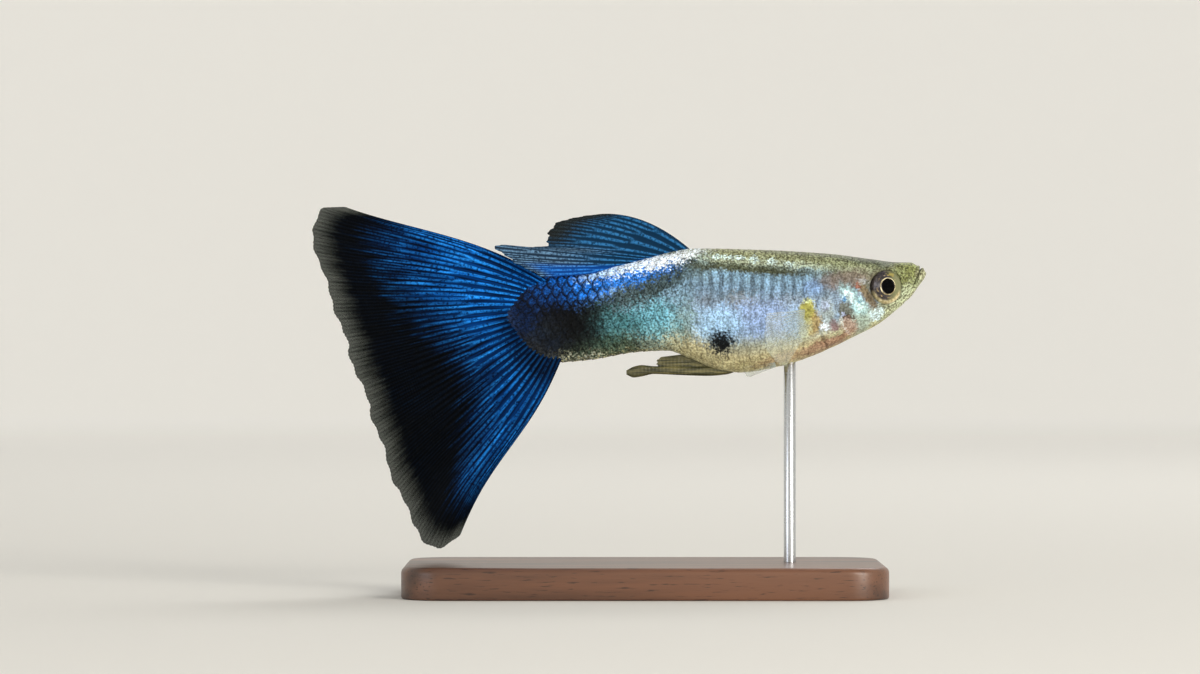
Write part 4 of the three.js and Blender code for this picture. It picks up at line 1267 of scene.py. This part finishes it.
# The back fin: steel blue on the rays, smoky at its rear edge, grey along its hind lobe, and
# bright blue where the last rays lie along the back.
def backFinMaterial():
    look, c = backFinLook, colours(backFinLook["shades"])
    material, shader, add = newMaterial("steelBlueFin", {
        "Roughness": 0.45, "IOR": 1.4, "Specular IOR Level": 0.05,
    })
    across, outward, ray = (
        add("Attribute", {"attribute_name": name}, output="Fac")
        for name in ("across", "outward", "ray"))
    where = add("TexCoord", output="Object")
    fine = 1 / (look["grain"] * mm)
    grain = add("TexNoise", {}, {"Vector": where, "Scale": fine, "Detail": 2.0})
    onRay = add("MapRange", smooth, {0: ray, 1: 0.3, 2: 1.0})
    grainy = add("MapRange", smooth, {0: grain, 1: 0.25, 2: 0.65})
    lit = add("Math", times, {0: onRay, 1: grainy})
    paint = add("Mix", mixed, {0: lit, 6: c["film"], 7: c["ray"]}, 2)

    # how much a place lies within a range across the fin and one outwards
    def zone(acrossRange, outwardRange):
        one = add("MapRange", smooth, {0: across, 1: acrossRange[0], 2: acrossRange[1]})
        two = add("MapRange", smooth, {0: outward, 1: outwardRange[0], 2: outwardRange[1]})
        return add("Math", times, {0: one, 1: two})

    lobe = zone((0.36, 0.5), (0.25, 0.7))
    grey = add("Mix", mixed, {0: lit, 6: c["lobe"], 7: c["lobeRay"]}, 2)
    paint = add("Mix", mixed, {0: lobe, 6: paint, 7: grey}, 2)
    smoke = zone((0.48, 0.32), (0.62, 0.95))
    dusk = add("Mix", mixed, {0: lit, 6: c["dusk"], 7: c["duskRay"]}, 2)
    paint = add("Mix", mixed, {0: smoke, 6: paint, 7: dusk}, 2)
    strip = zone((0.8, 0.9), (1.0, 0.8))
    strip = add("Math", larger, {0: strip, 1: zone((0.3, 0.55), (0.16, 0.05))})
    bright = add("Mix", mixed, {0: lit, 6: c["strip"], 7: c["stripRay"]}, 2)
    paint = add("Mix", mixed, {0: strip, 6: paint, 7: bright}, 2)
    thin = add("Math", times, {0: lobe, 1: 0.4})
    thin = add("Math", larger, {0: smoke, 1: thin})
    clear = add("Math", timesPlus, {0: thin, 1: -0.12, 2: 1.0})
    raised = jointedRays(add, outward, ray, look["long"], look["joint"])
    feed(shader, {"Base Color": paint, "Alpha": clear, "Normal": raised})
    return material


steelBlue = backFinMaterial()
backFin = finPlate("dorsal_fin", dorsal, steelBlue)
settle(backFin, "back_fin", "dorsal_fin")

clearFinLook = {
    "long": 4.5, "joint": 0.173,  # mm
    "shades": {"film": "#a9bfc4", "ray": "#c9c9ae"},
}


# Clear fin: a colourless film on fine rays, seen mostly by its rays and its shine.
def clearFinMaterial():
    look, c = clearFinLook, colours(clearFinLook["shades"])
    material, shader, add = newMaterial("clearFin", {
        "Roughness": 0.35, "IOR": 1.38, "Specular IOR Level": 0.3,
    })
    ray = add("Attribute", {"attribute_name": "ray"}, output="Fac")
    onRay = add("MapRange", smooth, {0: ray, 1: 0.2, 2: 0.9})
    paint = add("Mix", mixed, {0: onRay, 6: c["film"], 7: c["ray"]}, 2)
    outward = add("Attribute", {"attribute_name": "outward"}, output="Fac")
    solid = add("MapRange", smooth, {0: ray, 1: 0.3, 2: 0.95})
    solid = add("Math", timesPlus, {0: solid, 1: 0.15, 2: 0.1})
    nearRoot = add("MapRange", smooth, {0: outward, 1: 0.3, 2: 0.0, 4: 0.35})
    solid = add("Math", plus, {0: solid, 1: nearRoot})
    raised = jointedRays(add, outward, ray, look["long"], look["joint"])
    feed(shader, {"Base Color": paint, "Alpha": solid, "Normal": raised})
    return material


clearFin = clearFinMaterial()
pairedFins = {
    # place of the root and half its height in mm, length in mm, angles in radians
    "pectoral_fin": {
        "rootAt": (9.0, -3.4), "out": 2.1, "length": 4.5, "rootHalf": 0.75, "spread": 0.85,
        "sweep": 0.5, "splay": 0.72, "roll": 0.1, "rays": 13, "rows": 40,
    },
    "pelvic_fin": {
        "rootAt": (11.3, -6.85), "out": 0.8, "length": 2.5, "rootHalf": 0.22, "spread": 0.42,
        "sweep": 0.27, "splay": 0.06, "roll": 0.7, "rays": 6, "rows": 26,
    },
}


def turnPair(first, second, angle):
    cosine, sine = math.cos(angle), math.sin(angle)
    return first * cosine - second * sine, first * sine + second * cosine


# A paired fin is drawn flat, its root at [0, 0] and its rays running back, then turned.
def buildPairedFin(kind, side, way):
    f = pairedFins[kind]
    share = np.linspace(0, 1, 13)
    leanBack = f["rootHalf"] * math.sin(f["sweep"]) * (0.5 - share) * 2
    leanUp = f["rootHalf"] * math.cos(f["sweep"]) * (0.5 - share) * 2
    fan = f["sweep"] + f["spread"] * (share - 0.5)
    reach = f["length"] * (0.72 + 0.28 * np.sin(math.pi * (0.15 + 0.7 * share)))

    def place(grid):
        x = -grid[..., 0]
        y, z = turnPair(grid[..., 1], grid[..., 2], -f["roll"])
        x, y = turnPair(x, y, -f["splay"])
        return np.stack([f["rootAt"][0] - x, way * (f["out"] + y), f["rootAt"][1] + z], axis=-1)

    fin = {
        "rays": f["rays"], "perRay": 10, "rows": f["rows"], "forks": (0.45, 0.8),
        "notch": 0.05, "uneven": 0.08,
        "root": np.stack([leanBack, leanUp], 1),
        "edge": np.stack([leanBack + reach * np.cos(fan), leanUp - reach * np.sin(fan)], 1),
        "bow": straight, "sway": lambda share, out: 0.12 * out * np.sin(9 * share),
        "trim": ragged(0.02, 4), "halfAtRoot": 0.06, "halfAtEdge": 0.02, "ridge": 0.035,
    }
    piece = finPlate(kind + "." + side, fin, clearFin, place=place)
    settle(piece, "clear_fin", kind + "_" + side)
    if way < 0:
        piece.data.flip_normals()


for side, way in (("left", 1), ("right", -1)):
    buildPairedFin("pectoral_fin", side, way)
    buildPairedFin("pelvic_fin", side, way)


print("stage: gonopodium")
gonopodium = {
    # behind the snout, upper edge, lower edge, half width
    "rod": [
        [13.6, -6.4, -7.1, 0.3], [15.0, -6.9, -7.62, 0.3], [16.4, -6.98, -7.72, 0.27],
        [18.4, -7.0, -7.66, 0.23], [20.4, -6.98, -7.58, 0.2], [21.3, -6.9, -7.76, 0.22],
        [21.9, -7.02, -7.84, 0.2], [22.45, -7.3, -7.62, 0.1],
    ],
    "rings": 90, "around": 24,
    "grooves": 3, "grooveDepth": 0.12,  # on each side, in shares of the half width
    "film": {
        "rays": 6, "perRay": 10, "rows": 30, "forks": (0.5, 0.85), "notch": 0.05, "uneven": 0.1,
        "root": [[16.6, -5.9], [15.9, -6.5], [15.2, -7.2]],
        "edge": [[19.9, -6.3], [20.25, -6.6], [20.1, -7.05]],
        "bow": straight, "sway": lambda share, out: 0 * out,
        "trim": ragged(0.02, 3), "halfAtRoot": 0.12, "halfAtEdge": 0.04, "ridge": 0.05,
    },
}
creamLook = {
    "fibre": (1.6667, 1.6667, 0.13333), "joint": 0.2732,  # mm
    "shades": {"dark": "#2c2d17", "pale": "#6f6942"},
}


# The fin that is the male's organ: cream, streaked along its rays and ringed by their joints.
def creamFinMaterial():
    look, c = creamLook, colours(creamLook["shades"])
    material, shader, add = newMaterial("creamFin", {
        "Roughness": 0.35, "IOR": 1.4, "Coat Weight": 0.35, "Coat Roughness": 0.12,
    })
    where = add("TexCoord", output="Object")
    fibres = [1 / (size * mm) for size in look["fibre"]]
    place = add("Mapping", {}, {0: where, "Scale": fibres})
    streak = add("TexNoise", {}, {"Vector": place, "Scale": 1.0, "Detail": 3.0})
    streak = add("MapRange", smooth, {0: streak, 1: 0.35, 2: 0.7})
    paint = add("Mix", mixed, {0: streak, 6: c["dark"], 7: c["pale"]}, 2)
    joints = add("TexWave", {"bands_direction": "X"}, {
        0: where, "Scale": 2 * math.pi / 20 / (look["joint"] * mm), "Distortion": 0.4,
    }, "Fac")
    raised = add("Bump", {}, {"Height": joints, "Strength": 0.6, "Distance": 0.03 * mm})
    feed(shader, {"Base Color": paint, "Normal": raised})
    return material


def buildGonopodium():
    g = gonopodium
    table = np.array(g["rod"])
    backs = np.linspace(table[0, 0], table[-1, 0], g["rings"])
    high, low, half = (smoothLine(table[:, [0, k]])(backs)[:, None] for k in (1, 2, 3))
    turn = fullTurn(g["around"])
    grooved = 1 - g["grooveDepth"] * np.abs(np.cos(g["grooves"] * turn))
    grid = np.empty((len(backs), len(turn), 3))
    grid[..., 0] = backs[:, None]
    grid[..., 1] = half * np.cos(turn) * grooved
    grid[..., 2] = (high + low) / 2 + (high - low) / 2 * np.sin(turn)
    ends = [grid[0].mean(0), grid[-1].mean(0)]
    rod = makeTube("gonopodium", toFrame(grid), toFrame(ends), {}, creamFin, turned=True)
    settle(rod, "anal_fin", "gonopodium")
    film = finPlate("anal_fin_film", g["film"], creamFin)
    settle(film, "anal_fin")


creamFin = creamFinMaterial()
buildGonopodium()


print("stage: stand")
stand = {  # mm
    "length": 36.0, "width": 18.0, "height": 2.4, "corner": 3.2, "round": 0.5, "centreX": 2.0,
    "footShare": 0.4,  # the lower edge's rounding, in shares of the upper edge's
    "cornerSteps": 12, "roundSteps": 8, "footSteps": 4,
    "rodBack": 10.2, "rodRadius": 0.45, "rodTip": 0.1, "rodAround": 40,
    "rodInBase": 0.3, "rodInBelly": 0.35, "rodFoot": 0.05,
}
walnutLook = {
    "bands": (25.0, 2.381, 2.381),  # mm
    "pores": (1.4286, 0.14286, 0.14286),  # mm, long along the grain
    "shades": {"dark": "#3b2417", "pale": "#6d4730", "pore": "#1d110b"},
}
steelLook = {
    "rings": (5.0, 5.0, 0.08333),  # mm; the marks of real polish are finer and wouldn't show
    "colour": "#c3c6ca",
}


# Walnut, sanded and oiled: dark pores and slow bands along the grain, with a satin sheen.
def walnutMaterial():
    look, c = walnutLook, colours(walnutLook["shades"])
    material, shader, add = newMaterial("oiledWalnut", {
        "Roughness": 0.42, "IOR": 1.5, "Coat Weight": 0.25, "Coat Roughness": 0.25,
    })
    where = add("TexCoord", output="Object")
    bandsAt, poresAt = (
        add("Mapping", {}, {0: where, "Scale": [1 / (size * mm) for size in look[key]]})
        for key in ("bands", "pores"))
    bands = add("TexNoise", {}, {"Vector": bandsAt, "Scale": 1.0, "Detail": 4.0})
    pores = add("TexNoise", {}, {"Vector": poresAt, "Scale": 1.0, "Detail": 2.0})
    banded = add("MapRange", smooth, {0: bands, 1: 0.3, 2: 0.7})
    paint = add("Mix", mixed, {0: banded, 6: c["dark"], 7: c["pale"]}, 2)
    inPore = add("MapRange", smooth, {0: pores, 1: 0.42, 2: 0.28, 4: 0.75})
    paint = add("Mix", mixed, {0: inPore, 6: paint, 7: c["pore"]}, 2)
    raised = add("Bump", {}, {"Height": pores, "Strength": 0.3, "Distance": 0.03 * mm})
    feed(shader, {"Base Color": paint, "Normal": raised})
    return material


# Steel polished on a lathe: fine rings, some duller, which draw its highlight out.
def steelMaterial():
    look = steelLook
    material, shader, add = newMaterial("polishedSteel", {
        "Base Color": colour(look["colour"]), "Metallic": 1.0,
    })
    where = add("TexCoord", output="Object")
    rings = [1 / (size * mm) for size in look["rings"]]
    place = add("Mapping", {}, {0: where, "Scale": rings})
    dull = add("TexNoise", {}, {"Vector": place, "Scale": 1.0, "Detail": 2.0})
    rough = add("MapRange", {}, {0: dull, 3: 0.16, 4: 0.34})
    feed(shader, {"Roughness": rough})
    return material


def buildBase():
    s = stand
    outline = []
    for cornerX, cornerY, start in ((1, -1, -90), (1, 1, 0), (-1, 1, 90), (-1, -1, 180)):
        for step in range(s["cornerSteps"] + 1):
            turn = math.radians(start + step * 90 / s["cornerSteps"])
            outline.append((cornerX, cornerY, math.cos(turn), math.sin(turn)))
    cornerX, cornerY, outX, outY = np.array(outline).T
    foot = s["round"] * s["footShare"]
    footTurns = np.linspace(0, math.pi / 2, s["footSteps"] + 1)
    topTurns = np.linspace(0, math.pi / 2, s["roundSteps"] + 1)
    # insets and heights of the rings from the foot up
    insets = np.append(foot * (1 - np.sin(footTurns)), s["round"] * (1 - np.cos(topTurns)))
    lower = foot * (1 - np.cos(footTurns))
    upper = s["height"] - s["round"] * (1 - np.sin(topTurns))
    radius = s["corner"] - insets[:, None]
    grid = np.empty((len(insets), len(outX), 3))
    grid[..., 0] = s["centreX"] + cornerX * (s["length"] / 2 - s["corner"]) + radius * outX
    grid[..., 1] = cornerY * (s["width"] / 2 - s["corner"]) + radius * outY
    grid[..., 2] = np.append(lower, upper)[:, None]
    ends = np.array([[s["centreX"], 0, 0], [s["centreX"], 0, s["height"]]])
    walnut = walnutMaterial()
    base = makeTube("stand_base_wood", grid * mm, ends * mm, {}, walnut, turned=True)
    rounded = [len(face.vertices) == 4 for face in base.data.polygons]  # not the flat ends
    base.data.polygons.foreach_set("use_smooth", rounded)
    settle(base, "stand_wood", "stand_base")


def buildRod():
    s = stand
    turn = fullTurn(s["rodAround"])
    bottom = s["height"] - s["rodInBase"]
    top = snout["z"] + bottomAt(s["rodBack"]) + s["rodInBelly"]
    heights = np.array([bottom, s["height"] + s["rodFoot"], top - s["rodTip"], top])
    radii = s["rodRadius"] - np.array([0, 0, 0, s["rodTip"]])
    middle = snout["x"] - s["rodBack"]
    grid = np.empty((len(heights), len(turn), 3))
    grid[..., 0] = middle + radii[:, None] * np.cos(turn)
    grid[..., 1] = radii[:, None] * np.sin(turn)
    grid[..., 2] = heights[:, None]
    ends = np.array([[middle, 0, bottom], [middle, 0, top]])
    steel = steelMaterial()
    rod = makeTube("stand_rod_steel", grid * mm, ends * mm, {}, steel, turned=True)
    settle(rod, "stand_steel", "stand_rod")


buildBase()
buildRod()

sizes = {"cad": cadBox, "visual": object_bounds()}
sizes = {key: [[float(v) for v in corner] for corner in box] for key, box in sizes.items()}
print("stage: done", sizes)
